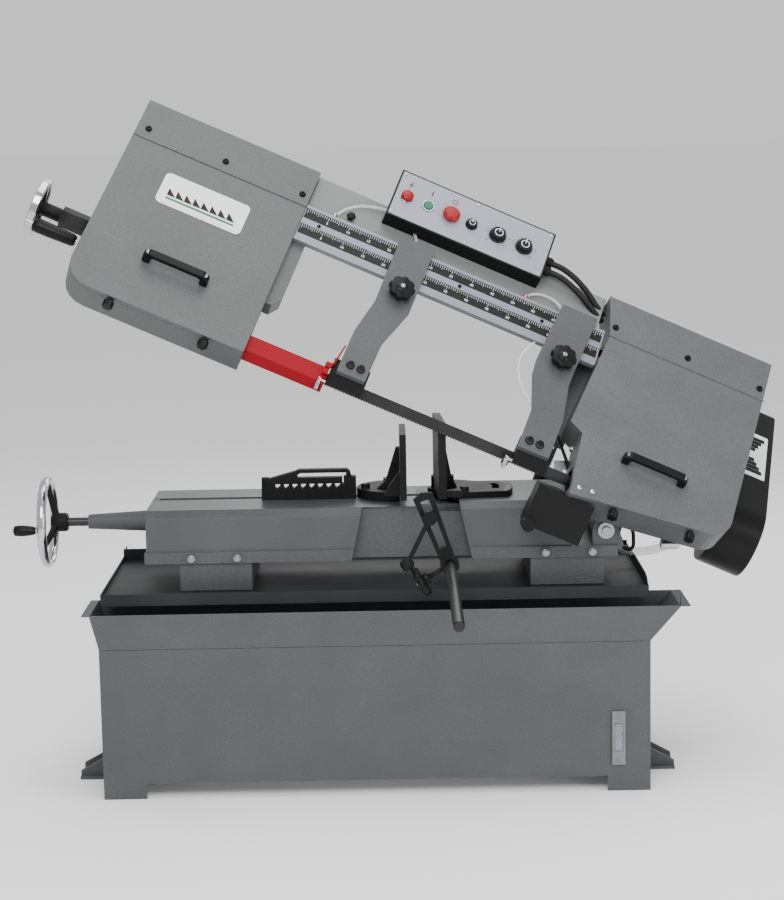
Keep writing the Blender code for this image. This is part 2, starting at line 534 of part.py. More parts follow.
# ================================================================ wheels, blade and tension
def band_wheel(name, x, bore, pivot):
    prof = [(WHEEL_R, -0.015), (WHEEL_R, 0.015), (0.158, 0.015), (0.156, 0.005), (0.040, 0.005),
            (0.038, 0.017), (bore, 0.017), (bore, -0.014), (0.038, -0.014), (0.040, -0.004),
            (0.156, -0.004), (0.158, -0.015)]
    holes = [rod((x + 0.098 * cos(radians(72 * k + 11)), 0, WHEEL_Z + 0.098 * sin(radians(72 * k + 11))),
                 0.026, -0.03, 0.03, "y", 9) for k in range(5)]
    node(name, "black_cast", turned(prof, (x, 0, WHEEL_Z), "y", 32, ring=True), cut=holes,
         frame=HEAD, pivot=pivot)


band_wheel("idler_wheel", IDLER_X, 0.0129, (IDLER_X, 0, WHEEL_Z))
band_wheel("drive_wheel", DRIVE_X, 0.0195, (DRIVE_X, 0, WHEEL_Z))

node("idler_carriage", "black_cast",
     box(-1.140, -1.030, BOX_B + GAP, 0.105, WHEEL_Z - 0.0480, WHEEL_Z + 0.0480),
     add=[rod((IDLER_X, 0, WHEEL_Z), 0.0125, -0.020, 0.06, "y", 20),
          rod((IDLER_X, 0, WHEEL_Z), 0.0200, -0.0225, -0.0145, "y", 20)],
     cut=[rod((0, 0.0745, WHEEL_Z), 0.0105, -1.15, -1.06, "x", 16)],
     frame=HEAD, pivot=(IDLER_X, 0.0745, WHEEL_Z))

TW = (-1.4265, 0.0745, WHEEL_Z)
TC = (TW[0], TW[1] - 0.0130, TW[2] - 0.0560)   # crank grip on the rim, pointing at the box
node("tension_handwheel", "chrome",
     pipe((0, TW[1], TW[2]), 0.0640, 0.0555, TW[0] - 0.0085, TW[0] + 0.0085, "x", 32),
     add=[rod((0, TW[1], TW[2]), 0.0160, -1.437, -1.3732, "x", 20),
          rod((0, TW[1], TW[2]), 0.0100, -1.390, -1.075, "x", 16)]
     + [bar((TW[0] + 0.004, TW[1], TW[2]), (TW[0], TW[1] + 0.059 * cos(a), TW[2] + 0.059 * sin(a)),
            0.0055, 10) for a in (radians(17), radians(137), radians(257))]
     + [rod(TC, 0.0045, 0.0, 0.112, "x", 12), rod(TC, 0.0100, -0.0085, 0.0095, "x", 12)],
     frame=HEAD, pivot=TW)
node("tension_crank", "black_plastic",
     turned([(0.0049, 0.0100), (0.0150, 0.0100), (0.0165, 0.022), (0.0140, 0.105), (0.0090, 0.1095),
             (0.0049, 0.1095)], TC, "x", 16, ring=True), frame=HEAD, pivot=TC)


def blade_band():
    """Closed band: vertical between the guides, twisting into the wheel planes beside them."""
    r = WHEEL_R + GAP + BLADE_T / 2
    twist = pi / 2 - LEAN
    path = []                         # (x, z, tangent angle, twist about tangent)
    g0, g1 = -0.800, -0.180           # where the twist ends, beyond each guide
    xs = [IDLER_X, -1.05, -1.01, -0.98, -0.95, -0.92, -0.89, -0.86, -0.83, g0, -0.44,
          g1, -0.15, -0.12, -0.09, -0.06, -0.03, 0.0, 0.04, DRIVE_X]
    for x in xs:
        if x <= g0:
            f = (x - IDLER_X) / (g0 - IDLER_X)
        elif x >= g1:
            f = (DRIVE_X - x) / (DRIVE_X - g1)
        else:
            f = 1.0
        f = f * f * (3 - 2 * f)
        path.append((x, WHEEL_Z - r, 0.0, f * twist))
    for k in range(1, 24):
        a = -pi / 2 + pi * k / 24
        path.append((DRIVE_X + r * cos(a), WHEEL_Z + r * sin(a), a + pi / 2, 0.0))
    for x in (DRIVE_X, IDLER_X):
        path.append((x, WHEEL_Z + r, pi, 0.0))
    for k in range(1, 24):
        a = pi / 2 + pi * k / 24
        path.append((IDLER_X + r * cos(a), WHEEL_Z + r * sin(a), a + pi / 2, 0.0))
    verts, faces = [], []
    w, t = BLADE_W / 2, BLADE_T / 2
    for x, z, tang, tw in path:
        across = Vector((0, 1, 0))
        normal = Vector((-sin(tang), 0, cos(tang)))
        a = across * cos(tw) - normal * sin(tw)
        b = normal * cos(tw) + across * sin(tw)
        c = Vector((x, 0, z))
        for p, q in ((1, 1), (1, -1), (-1, -1), (-1, 1)):
            verts.append(tuple(c + a * w * p + b * t * q))
    n = len(path)
    for i in range(n):
        j = (i + 1) % n
        # the two broad sides share one diagonal, so the twisted walls stay parallel
        for k, m in ((0, 1), (2, 3)):
            faces.append((4 * i + k, 4 * i + m, 4 * j + m))
            faces.append((4 * i + k, 4 * j + m, 4 * j + k))
        faces.append((4 * i + 1, 4 * i + 2, 4 * j + 2))
        faces.append((4 * i + 1, 4 * j + 2, 4 * j + 1))
        faces.append((4 * i + 3, 4 * i, 4 * j + 3))
        faces.append((4 * i, 4 * j, 4 * j + 3))
    return verts, faces


node("blade", "blade_steel", blade_band(), frame=HEAD)

# red blade guard: folded angle that telescopes into the left box with the left guide arm
guard = [(-0.026, 0.013), (-0.026, -0.0265), (0.002, -0.0350), (0.002, -0.0325),
         (-0.0235, -0.0245), (-0.0235, 0.013)]
node("blade_guard", "red_paint", prism(guard, -1.050, -0.700, "x"),
     add=[box(-0.712, -0.700, -0.0380, -0.0236, -0.010, 0.020),
          prism([(-0.7110, 0.005), (-0.7000, 0.005), (-0.6930, 0.020), (-0.6855, 0.0730),
                 (-0.6885, 0.0745), (-0.6965, 0.022)], -0.0420, -0.0353)],
     frame=HEAD)

# ================================================================ blade guides
def guide(side, outline, knob_x, bolts, u0, u1):
    node("guide_arm_" + side, "paint_grey", prism(outline, -0.050, -0.0362),
         add=[rod((x, 0, 0.025), 0.0075, -0.057, -0.049, "y", 12) for x in bolts],
         cut=[rod((knob_x, 0, 0.252), 0.0066, -0.06, -0.03, "y", 12)], frame=HEAD)
    node("guide_knob_" + side, "black_plastic", star((knob_x, 0, 0.252), 0.031, -0.078, -0.060, "y"),
         add=[rod((knob_x, 0, 0.252), 0.014, -0.062, -0.0504, "y", 16),
              rod((knob_x, 0, 0.252), 0.0060, -0.052, -0.0300, "y", 12)],
         frame=HEAD, pivot=(knob_x, -0.05, 0.252))
    block = [(0.0205, 0.068), (0.0205, 0.0985), (0.0425, 0.1245), (0.0565, 0.1245), (0.0565, 0.068)]
    node("guide_block_" + side, "black_cast", prism(block, u0, u1, "x"),
         cut=[box(u0 - 0.01, u1 + 0.01, BLADE_Y - 0.0022, BLADE_Y + 0.0022, 0.05, 0.0885)], frame=ARM)


guide("left", [(-0.662, 0.400), (-0.581, 0.400), (-0.584, 0.214), (-0.615, 0.112), (-0.620, 0.0),
               (-0.685, 0.0), (-0.682, 0.114), (-0.664, 0.207)], -0.620, (-0.662, -0.638),
      -0.697, -0.615)
guide("right", [(-0.268, 0.401), (-0.183, 0.401), (-0.196, 0.252), (-0.199, 0.201), (-0.187, 0.108),
                (-0.192, 0.002), (-0.263, 0.002), (-0.260, 0.110), (-0.283, 0.196), (-0.285, 0.238),
                (-0.281, 0.278)], -0.233, (-0.244, -0.220), -0.262, -0.185)

# chip brush housing under the right box
node("brush_cover", "black_cast",
     prism([(-0.010, -0.042), (0.070, -0.042), (0.070, 0.0075), (0.042, 0.0075), (-0.010, 0.0505)],
           -0.190, -0.060, "x"),
     add=[prism([(-0.010, -0.038), (0.060, -0.038), (0.060, 0.050), (-0.010, 0.050)],
                -0.190, -0.130, "x"),
          rod((-0.178, 0, -0.040), 0.015, -0.018, 0.02, "y", 16)],
     frame=ARM)

# ================================================================ pivot, gearbox, motor, belt
barrel_y = (y0 + 0.018 + GAP, y1 - 0.022 - GAP)
a2h = HEAD.inverted() @ ARM
knuckle = spun(rod((0, 0, 0), 0.030, barrel_y[0], barrel_y[1], "y", 25), a2h)
web = spun(prism([(0.1345, 0.045), (0.230, 0.158), (0.300, 0.170), (0.345, 0.024), (0.345, 0.0021),
                  (0.1345, 0.0021)], -0.027, 0.027, "x"), a2h)
bore = spun(rod((0, 0, 0), 0.0129, 0.0, 0.5, "y", 20), a2h)
WORM = (0.145, 0.135)              # y and z in the head frame
MOTOR = (0.240, 0.400)
pin = ARM.inverted() @ Vector((LIFT_TOP[0], LIFT_Y, LIFT_TOP[1]))
lug = [spun(box(pin.x - 0.018, pin.x + 0.018, y, y + 0.009, pin.z - 0.018, 0.159), a2h)
       for y in (LIFT_Y - 0.0250, LIFT_Y + 0.0160)]
lug += [spun(box(pin.x - 0.0172, -0.0212, 0.300, LIFT_Y + 0.0243, 0.1385, 0.1605), a2h),
        spun(rod((pin.x, 0, pin.z), 0.006, LIFT_Y - 0.020, LIFT_Y + 0.020, "y", 16), a2h)]
case = [(BOX_B + GAP, 0.060), (0.088, 0.060), (0.192, 0.118), (0.192, 0.262), (BOX_B + GAP, 0.262)]
node("gearbox", "paint_grey", prism(case, -0.0302, 0.130, "x"),
     add=[web, knuckle] + lug
     + [rod((DRIVE_X, 0, WHEEL_Z), 0.0190, -0.0145, 0.06, "y", 24),
        rod((0, WORM[0], WORM[1]), 0.034, 0.128, 0.2364, "x", 20),
        rod((0, WORM[0], WORM[1]), 0.0100, 0.235, 0.250, "x", 16),
        box(-0.020, 0.120, 0.150, 0.191, 0.255, 0.300)],
     cut=[bore], frame=HEAD)
node("motor", "paint_grey", rod((0, MOTOR[0], MOTOR[1]), 0.072, -0.040, 0.200, "x", 28),
     add=[box(-0.020, 0.120, 0.150, 0.240, 0.3004, 0.350),
          rod((0, MOTOR[0], MOTOR[1]), 0.0640, -0.072, -0.038, "x", 24),
          rod((0, MOTOR[0], MOTOR[1]), 0.030, 0.198, 0.2364, "x", 20),
          box(0.030, 0.130, 0.295, 0.330, 0.370, 0.440),
          rod((0, MOTOR[0], MOTOR[1]), 0.0095, 0.235, 0.250, "x", 16)],
     frame=HEAD)
STEPS = [0.058, 0.049, 0.040, 0.031]
PULLEY_X = 0.2620


def cone(name, centre, radii):
    prof = [(0, PULLEY_X - 0.0115), (0.020, PULLEY_X - 0.0115), (0.020, PULLEY_X)]
    for k, r in enumerate(radii):
        prof += [(r, PULLEY_X + 0.0175 * k), (r, PULLEY_X + 0.0175 * (k + 1))]
    node(name, "steel", turned(prof + [(0, PULLEY_X + 0.070)], (0, centre[0], centre[1]), "x", 28),
         frame=HEAD, pivot=(0.28, centre[0], centre[1]))


cone("worm_pulley", WORM, STEPS)
cone("motor_pulley", MOTOR, STEPS[::-1])


def hull(c1, r1, c2, r2, n=14):
    """Outline wrapped round two circles."""
    dy, dz = c2[0] - c1[0], c2[1] - c1[1]
    ang, off = atan2(dz, dy), acos((r1 - r2) / hypot(dy, dz))
    pts = [(c1[0] + r1 * cos(t), c1[1] + r1 * sin(t))
           for t in (ang + off + (2 * pi - 2 * off) * k / n for k in range(n + 1))]
    pts += [(c2[0] + r2 * cos(t), c2[1] + r2 * sin(t))
            for t in (ang - off + 2 * off * k / n for k in range(n + 1))]
    return pts


belt_x = PULLEY_X + 0.0175
node("belt", "rubber", prism(hull(WORM, 0.0570, MOTOR, 0.0480), belt_x + 0.0025, belt_x + 0.0160, "x"),
     cut=[prism(hull(WORM, 0.0494, MOTOR, 0.0404), belt_x - 0.01, belt_x + 0.04, "x")],
     frame=HEAD)
gd = Vector((MOTOR[0] - WORM[0], MOTOR[1] - WORM[1])).normalized()


def guard_outline(r, top):
    """Round lower end, square upper end, along the line of the two shafts."""
    def at(a, b):
        return (WORM[0] + gd.x * a + gd.y * b, WORM[1] + gd.y * a - gd.x * b)
    low = [at(r * cos(t), r * sin(t)) for t in (pi / 2 + pi * k / 14 for k in range(15))]
    return [at(top, r - 0.020), at(top - 0.006, r - 0.006), at(top - 0.020, r)] + low \
        + [at(top - 0.020, -r), at(top - 0.006, 0.006 - r), at(top, 0.020 - r)]


node("belt_guard", "black_plastic", prism(guard_outline(0.085, 0.395), 0.2370, 0.338, "x"),
     cut=[prism(guard_outline(0.082, 0.392), 0.2400, 0.335, "x"),
          rod((0, WORM[0], WORM[1]), 0.022, 0.22, 0.26, "x", 20),
          rod((0, MOTOR[0], MOTOR[1]), 0.022, 0.22, 0.26, "x", 20)],
     frame=HEAD)

# ================================================================ control box
CB = (-0.715, -0.336, 0.432, 0.566)
FACE = -0.0625


def hole(x, z, r, depth):
    return rod((x, 0, z), r, FACE - 0.01, FACE + depth, "y", 20)


PILOT = (-0.684, 0.4965)
START, STOP = (-0.632, 0.4955), (-0.577, 0.494)
SELECT, DIAL1, DIAL2 = (-0.526, 0.4945), (-0.462, 0.495), (-0.397, 0.494)
node("control_box", "plate_grey", box(CB[0], CB[1], FACE, -0.0219, CB[2], CB[3]),
     add=[rod((0, -0.042, z), 0.009, CB[1] - 0.002, CB[1] + 0.014, "x", 12) for z in (0.475, 0.500)]
     + [turned([(0, FACE + 0.002), (0.0148, FACE + 0.002), (0.0148, FACE - 0.004), (0.011, FACE - 0.010),
                (0, FACE - 0.012)], (PILOT[0], 0, PILOT[1]), "y", 20)],
     cut=[hole(START[0], START[1], 0.0118, 0.016), hole(STOP[0], STOP[1], 0.0118, 0.016)]
     + [hole(c[0], c[1], 0.0064, 0.010) for c in (SELECT, DIAL1, DIAL2)],
     frame=HEAD)


def front(name, tint, c, prof):
    """A turned control on the panel; heights are measured out from the face."""
    node(name, tint, turned([(r, FACE - h) for r, h in prof], (c[0], 0, c[1]), "y", 20),
         frame=HEAD, pivot=(c[0], FACE, c[1]))


front("start_button", "green_plastic", START, [(0, -0.010), (0.0114, -0.010), (0.0114, 0.006),
                                               (0.0105, 0.007), (0, 0.007)])
front("stop_button", "red_paint", STOP, [(0, -0.010), (0.0114, -0.010), (0.0114, 0.006),
                                         (0.0200, 0.008), (0.0200, 0.013), (0.014, 0.018), (0, 0.019)])
front("selector", "black_plastic", SELECT, [(0, -0.008), (0.006, -0.008), (0.006, 0.0004),
                                            (0.0140, 0.0004), (0.0130, 0.012), (0, 0.012)])
front("speed_dial", "black_plastic", DIAL1, [(0, -0.008), (0.006, -0.008), (0.006, 0.0004),
                                             (0.0170, 0.0004), (0.0150, 0.016), (0, 0.016)])
front("feed_dial", "black_plastic", DIAL2, [(0, -0.008), (0.006, -0.008), (0.006, 0.0004),
                                            (0.0170, 0.0004), (0.0150, 0.016), (0, 0.016)])

# ================================================================ pivot shaft and lift cylinder
node("pivot_shaft", "steel", rod((PIVOT[0], 0, PIVOT[1]), 0.0125, y0 - 0.001, y1 + 0.008, "y", 20),
     add=[rod((PIVOT[0], 0, PIVOT[1]), 0.0185, y0 - 0.0045, y0 - GAP, "y", 20),
          rod((PIVOT[0], 0, PIVOT[1]), 0.0105, y0 - 0.0125, y0 - 0.004, "y", 6),
          rod((PIVOT[0], 0, PIVOT[1]), 0.0185, y1 + GAP, y1 + 0.008, "y", 20)])

lift_dir = Vector((LIFT_TOP[0] - LIFT_BASE[0], 0, LIFT_TOP[1] - LIFT_BASE[1])).normalized()
base_w = (LIFT_BASE[0], LIFT_Y, LIFT_BASE[1])
tilt = atan2(lift_dir.x, lift_dir.z)
lift_m = Matrix.Translation(base_w) @ Matrix.Rotation(tilt, 4, "Y")


def lift(name, tint, solid, add, cut):
    """Drawn upright with its lower pin at the origin, then tilted into line."""
    node(name, tint, spun(solid, lift_m), add=[spun(s, lift_m) for s in add],
         cut=[spun(s, lift_m) for s in cut], pivot=base_w)


O3 = (0, 0, 0)
lift("lift_barrel", "black_cast", rod(O3, 0.022, 0.0165, 0.150, "z", 24),
     [rod(O3, 0.0140, 0.004, 0.020, "z", 16), rod(O3, 0.016, -0.0135, 0.0135, "y", 20)],
     [rod(O3, 0.0084, -0.03, 0.03, "y", 16), rod(O3, 0.0166, 0.024, 0.142, "z", 18),
      rod(O3, 0.0104, 0.13, 0.19, "z", 18)])
lift("lift_rod", "chrome", rod(O3, 0.0100, 0.0880, LIFT_LEN - 0.012, "z", 16),
     [rod(O3, 0.0160, 0.0865, 0.0945, "z", 18),
      box(-0.0125, 0.0125, -0.0145, 0.0145, LIFT_LEN - 0.018, LIFT_LEN + 0.014)],
     [moved(prism([(-0.0067, -0.0055), (-0.0035, -0.0100), (0.0035, -0.0100), (0.0067, -0.0055),
                   (0.0067, 0.0055), (0.0035, 0.0100), (-0.0035, 0.0100), (-0.0067, 0.0055)],
                  -0.03, 0.03), (0, 0, LIFT_LEN))])
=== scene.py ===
"""Looks of the band saw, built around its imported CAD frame. Metres, +Z up."""
import json
from math import cos, pi, radians, sin

import bmesh
import bpy
from mathutils import Matrix, Vector

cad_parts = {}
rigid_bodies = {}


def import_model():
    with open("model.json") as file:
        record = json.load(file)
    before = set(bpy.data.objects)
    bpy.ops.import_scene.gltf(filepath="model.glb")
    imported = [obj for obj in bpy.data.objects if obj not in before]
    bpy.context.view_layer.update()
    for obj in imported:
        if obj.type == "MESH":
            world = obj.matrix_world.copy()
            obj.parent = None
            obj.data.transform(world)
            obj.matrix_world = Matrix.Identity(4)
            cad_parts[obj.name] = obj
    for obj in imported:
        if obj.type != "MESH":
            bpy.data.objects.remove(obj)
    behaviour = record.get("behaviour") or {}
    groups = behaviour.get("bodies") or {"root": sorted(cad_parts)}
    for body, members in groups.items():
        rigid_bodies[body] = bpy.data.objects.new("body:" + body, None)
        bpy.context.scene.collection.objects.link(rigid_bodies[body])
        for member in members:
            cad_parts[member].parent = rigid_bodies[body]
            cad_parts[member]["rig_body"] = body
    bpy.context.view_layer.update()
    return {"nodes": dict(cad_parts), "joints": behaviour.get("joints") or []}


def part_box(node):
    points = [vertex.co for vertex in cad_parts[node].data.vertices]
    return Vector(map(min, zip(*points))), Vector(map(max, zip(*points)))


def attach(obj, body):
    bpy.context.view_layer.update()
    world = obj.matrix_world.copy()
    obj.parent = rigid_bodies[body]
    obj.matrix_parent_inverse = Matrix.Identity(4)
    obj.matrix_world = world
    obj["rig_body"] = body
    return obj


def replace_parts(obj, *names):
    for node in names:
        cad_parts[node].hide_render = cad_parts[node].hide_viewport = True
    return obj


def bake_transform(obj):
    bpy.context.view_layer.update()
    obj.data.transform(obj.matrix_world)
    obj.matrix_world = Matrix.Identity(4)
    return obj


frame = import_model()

JOINT = {j["name"]: j for j in frame["joints"]}
NODES = frame["nodes"]

# ---------------------------------------------------------------- local frames, read from the joints
LEAN = radians(40.0)               # the wheel boxes lean back by this much
WHEEL_Z = 0.1758                   # band wheel axis above the lower strand
DRIVE_X, IDLER_X = 0.050, -1.085   # band wheel axes along the head
BLADE_Y, BLADE_UP = 0.045, 0.0735  # blade line in the unleaned arm frame
VISE_Y, VISE_Z = 0.262, 0.5732     # lead screw line
TABLE_Z = 0.621
FACE = -0.0625                     # control box front
BOX_F = -0.040                     # front of the wheel boxes
FLOOR_HALF = 150.0                 # the floor runs out to the horizon
ROOM_LIGHT = 0.85                  # strength of the even white room
CAMERA_AT, CAMERA_LENS = (-0.0380, -4.4583, 1.443), 84.04
CAMERA_YAW, CAMERA_PITCH, CAMERA_ROLL = radians(0.05), radians(-8.66), radians(-1.03)


def axes_frame(x, y, origin):
    m = Matrix((x, y, x.cross(y))).transposed().to_4x4()
    m.translation = origin
    return m


head_x = Vector(JOINT["guide_left_slide"]["axis"]).normalized()
head_y = Vector(JOINT["drive_wheel_spin"]["axis"]).normalized()
head_z = head_x.cross(head_y)
drive = Vector(JOINT["drive_wheel_spin"]["pos_m"])
HEAD = axes_frame(head_x, head_y, drive - head_x * DRIVE_X - head_z * WHEEL_Z)
ARM = HEAD @ Matrix.Rotation(LEAN, 4, "X") @ Matrix.Translation((0, -BLADE_Y, -BLADE_UP))
BASE = Matrix.Translation(Vector(JOINT["vise_handwheel_turn"]["pos_m"]) - Vector((0, VISE_Y, VISE_Z)))


# ---------------------------------------------------------------- materials
def new_material(name):
    mat = bpy.data.materials.new(name)
    mat.use_nodes = True
    tree = mat.node_tree
    return mat, tree, tree.nodes["Principled BSDF"]


def noise(tree, coord, scale, detail=4.0, rough=0.55, stretch=(1, 1, 1)):
    """Noise value in object space, stretched along an axis for brushed or rolled grain."""
    mapping = tree.nodes.new("ShaderNodeMapping")
    mapping.inputs["Scale"].default_value = stretch
    tree.links.new(coord.outputs["Object"], mapping.inputs["Vector"])
    tex = tree.nodes.new("ShaderNodeTexNoise")
    tex.inputs["Scale"].default_value = scale
    tex.inputs["Detail"].default_value = detail
    tex.inputs["Roughness"].default_value = rough
    tree.links.new(mapping.outputs["Vector"], tex.inputs["Vector"])
    return tex.outputs["Fac"]


def remap(tree, value, low, high, start=0.3, end=0.7):
    node = tree.nodes.new("ShaderNodeMapRange")
    node.inputs["From Min"].default_value = start
    node.inputs["From Max"].default_value = end
    node.inputs["To Min"].default_value = low
    node.inputs["To Max"].default_value = high
    tree.links.new(value, node.inputs["Value"])
    return node.outputs["Result"]


def mix_colour(tree, factor, a, b):
    """Mix of two colours, either of which may be a plain colour or a socket."""
    node = tree.nodes.new("ShaderNodeMix")
    node.data_type = "RGBA"
    tree.links.new(factor, node.inputs["Factor"])
    for socket, value in ((node.inputs["A"], a), (node.inputs["B"], b)):
        if isinstance(value, tuple):
            socket.default_value = (*value, 1)
        else:
            tree.links.new(value, socket)
    return node.outputs["Result"]


def tone(rgb, k):
    return tuple(min(1.0, c * k) for c in rgb)


def edges(tree, radius):
    """Rounded normal, and a mask that is 1 on the crest of an edge."""
    bevel = tree.nodes.new("ShaderNodeBevel")
    bevel.samples = 4
    bevel.inputs["Radius"].default_value = radius
    geo = tree.nodes.new("ShaderNodeNewGeometry")
    dot = tree.nodes.new("ShaderNodeVectorMath")
    dot.operation = "DOT_PRODUCT"
    tree.links.new(bevel.outputs["Normal"], dot.inputs[0])
    tree.links.new(geo.outputs["Normal"], dot.inputs[1])
    return bevel.outputs["Normal"], remap(tree, dot.outputs["Value"], 1.0, 0.0, 0.80, 0.985)


def surface(name, rgb, rough, metal=0.0, vary=0.10, grain=900.0, bump=0.08, depth=0.0004,
            blotch=7.0, stretch=(1, 1, 1), edge=0.0016, edge_wear_and_highlight=None, coat=0.0, speckle=0.0, gloss=0.5):
    """Painted, cast, moulded or machined surface: broad tone drift, fine grain, and edges lightened partly as
    wear and partly as a painted highlight.
    """
    mat, tree, bsdf = new_material(name)
    coord = tree.nodes.new("ShaderNodeTexCoord")
    broad = noise(tree, coord, blotch, 3.0)
    fine = noise(tree, coord, grain, 2.0, 0.6, stretch)
    colour = mix_colour(tree, remap(tree, broad, 0, 1), tone(rgb, 1 - vary), tone(rgb, 1 + vary))
    if speckle:
        dark = remap(tree, fine, 1.0, 0.0, 0.38, 0.62)
        spot = tree.nodes.new("ShaderNodeMath")
        spot.operation = "MULTIPLY"
        spot.inputs[1].default_value = speckle
        tree.links.new(dark, spot.inputs[0])
        colour = mix_colour(tree, spot.outputs["Value"], colour, tone(rgb, 0.45))
    normal, crest = edges(tree, edge)
    # edge crests are mixed toward a lighter copy of the colour: partly wear, partly a painted highlight
    if edge_wear_and_highlight:
        highlight_and_wear_mask = tree.nodes.new("ShaderNodeMath")
        highlight_and_wear_mask.operation = "MULTIPLY"
        tree.links.new(crest, highlight_and_wear_mask.inputs[0])
        tree.links.new(remap(tree, noise(tree, coord, 60.0), 0.15, 0.9), highlight_and_wear_mask.inputs[1])
        colour = mix_colour(tree, highlight_and_wear_mask.outputs["Value"], colour, edge_wear_and_highlight)
    tree.links.new(colour, bsdf.inputs["Base Color"])
    tree.links.new(remap(tree, broad, rough * 0.88, min(1.0, rough * 1.14)), bsdf.inputs["Roughness"])
    bsdf.inputs["Metallic"].default_value = metal
    bsdf.inputs["Specular IOR Level"].default_value = gloss
    bsdf.inputs["Coat Weight"].default_value = coat
    bsdf.inputs["Coat Roughness"].default_value = 0.25
    relief = tree.nodes.new("ShaderNodeBump")
    relief.inputs["Strength"].default_value = bump
    relief.inputs["Distance"].default_value = depth
    tree.links.new(fine, relief.inputs["Height"])
    tree.links.new(normal, relief.inputs["Normal"])
    tree.links.new(relief.outputs["Normal"], bsdf.inputs["Normal"])
    return mat


def clear(name, rgb, alpha, rough=0.12):
    """Thin clear plastic: partly see-through, with faint cloudy streaks."""
    mat, tree, bsdf = new_material(name)
    coord = tree.nodes.new("ShaderNodeTexCoord")
    cloud = noise(tree, coord, 40.0, 3.0)
    tree.links.new(mix_colour(tree, remap(tree, cloud, 0, 1), rgb, tone(rgb, 0.8)),
                   bsdf.inputs["Base Color"])
    tree.links.new(remap(tree, cloud, alpha * 0.8, min(1.0, alpha * 1.2)), bsdf.inputs["Alpha"])
    bsdf.inputs["Roughness"].default_value = rough
    bsdf.inputs["Coat Weight"].default_value = 0.6
    return mat


M = {
    "paint": surface("grey_enamel", (0.0911, 0.0972, 0.0972), 0.45, vary=0.10, grain=420, bump=0.30,
                     speckle=0.50, edge_wear_and_highlight=(0.19, 0.20, 0.20), gloss=0.35),
    # darker copy of the grey enamel, edge colour included: painted shade for the lower, less lit stand
    "stand": surface("stand_enamel_painted_shade", (0.0660, 0.0725, 0.0725), 0.46, vary=0.10, grain=420, bump=0.30,
                     speckle=0.50, edge_wear_and_highlight=(0.14, 0.15, 0.15), gloss=0.35),
    "plate": surface("light_enamel", (0.1575, 0.1610, 0.1610), 0.42, vary=0.05, grain=900, bump=0.15,
                     speckle=0.14, edge_wear_and_highlight=(0.32, 0.32, 0.32), gloss=0.35),
    "cast": surface("black_casting", (0.0060, 0.0060, 0.0064), 0.50, vary=0.25, grain=420, bump=0.45,
                    edge_wear_and_highlight=(0.030, 0.030, 0.031), gloss=0.14),
    "plastic": surface("black_moulding", (0.0045, 0.0045, 0.0048), 0.38, vary=0.15, grain=1500,
                       bump=0.18, edge_wear_and_highlight=(0.016, 0.016, 0.017), gloss=0.16),
    "chrome": surface("chrome_plate", (0.50, 0.50, 0.52), 0.12, 1.0, vary=0.03, grain=200, bump=0.02),
    "steel": surface("machined_steel", (0.30, 0.31, 0.32), 0.28, 1.0, vary=0.08, grain=240,
                     bump=0.12, stretch=(0.05, 1, 1)),
    "rail": surface("ground_rail", (0.200, 0.200, 0.235), 0.40, 0.40, vary=0.06, grain=260, bump=0.08,
                    stretch=(0.05, 1, 1)),
    "table": surface("oiled_table", (0.075, 0.079, 0.081), 0.34, 0.30, vary=0.18, grain=300,
                     bump=0.10, stretch=(0.05, 1, 1)),
    "tray": surface("tray_sheet", (0.018, 0.020, 0.021), 0.48, 0.10, vary=0.25, grain=160,
                    bump=0.06, stretch=(0.1, 1, 1), gloss=0.16),
    "blade": surface("blade_strip", (0.0420, 0.0420, 0.0432), 0.34, 1.0, vary=0.14, grain=500,
                     bump=0.12, stretch=(0.04, 1, 1), edge=0.0003),
    "red": surface("red_enamel", (0.230, 0.0016, 0.0085), 0.45, vary=0.08, grain=900, bump=0.12,
                   edge_wear_and_highlight=(0.32, 0.010, 0.018), gloss=0.12),
    "red_cap": surface("red_moulding", (0.2400, 0.0012, 0.0045), 0.32, vary=0.05, grain=1400,
                       bump=0.06, gloss=0.3),
    "green": surface("green_moulding", (0.0030, 0.130, 0.060), 0.32, vary=0.05, grain=1400,
                     bump=0.06, gloss=0.3),
    "rubber": surface("black_rubber", (0.0070, 0.0070, 0.0070), 0.55, vary=0.2, grain=800, bump=0.3,
                      gloss=0.25),
    "brass": surface("brass_fitting", (0.42, 0.33, 0.16), 0.24, 1.0, vary=0.08, grain=500, bump=0.08),
    "panel": surface("panel_print", (0.2664, 0.2736, 0.3240), 0.36, vary=0.02, grain=900,
                     bump=0.04, gloss=0.3),
    "white": surface("white_print", (0.78, 0.79, 0.80), 0.38, vary=0.02, grain=900, bump=0.04, gloss=0.3),
    "ink": surface("black_print", (0.0060, 0.0060, 0.0065), 0.42, vary=0.05, grain=900, bump=0.04,
                   gloss=0.2),
    "fluid": surface("gauge_fluid", (0.16, 0.13, 0.25), 0.20, vary=0.15, grain=300, bump=0.03),
    "hose": clear("clear_hose", (0.80, 0.84, 0.82), 0.34),
    "lens": clear("gauge_lens", (0.40, 0.43, 0.48), 0.22, 0.05),
}


# ---------------------------------------------------------------- solids, as (vertices, faces)
def prism(pts, a, b, axis="y"):
    """Extrude a polygon: (x, z) along y, (x, y) along z, or (y, z) along x."""
    def put(p, t):
        return {"y": (p[0], t, p[1]), "z": (p[0], p[1], t), "x": (t, p[0], p[1])}[axis]
    n = len(pts)
    verts = [put(p, a) for p in pts] + [put(p, b) for p in pts]
    faces = [tuple(range(n)), tuple(range(2 * n - 1, n - 1, -1))]
    faces += [(i, (i + 1) % n, (i + 1) % n + n, i + n) for i in range(n)]
    return verts, faces


def box(x0, x1, y0, y1, z0, z1):
    return prism([(x0, y0), (x1, y0), (x1, y1), (x0, y1)], z0, z1, "z")


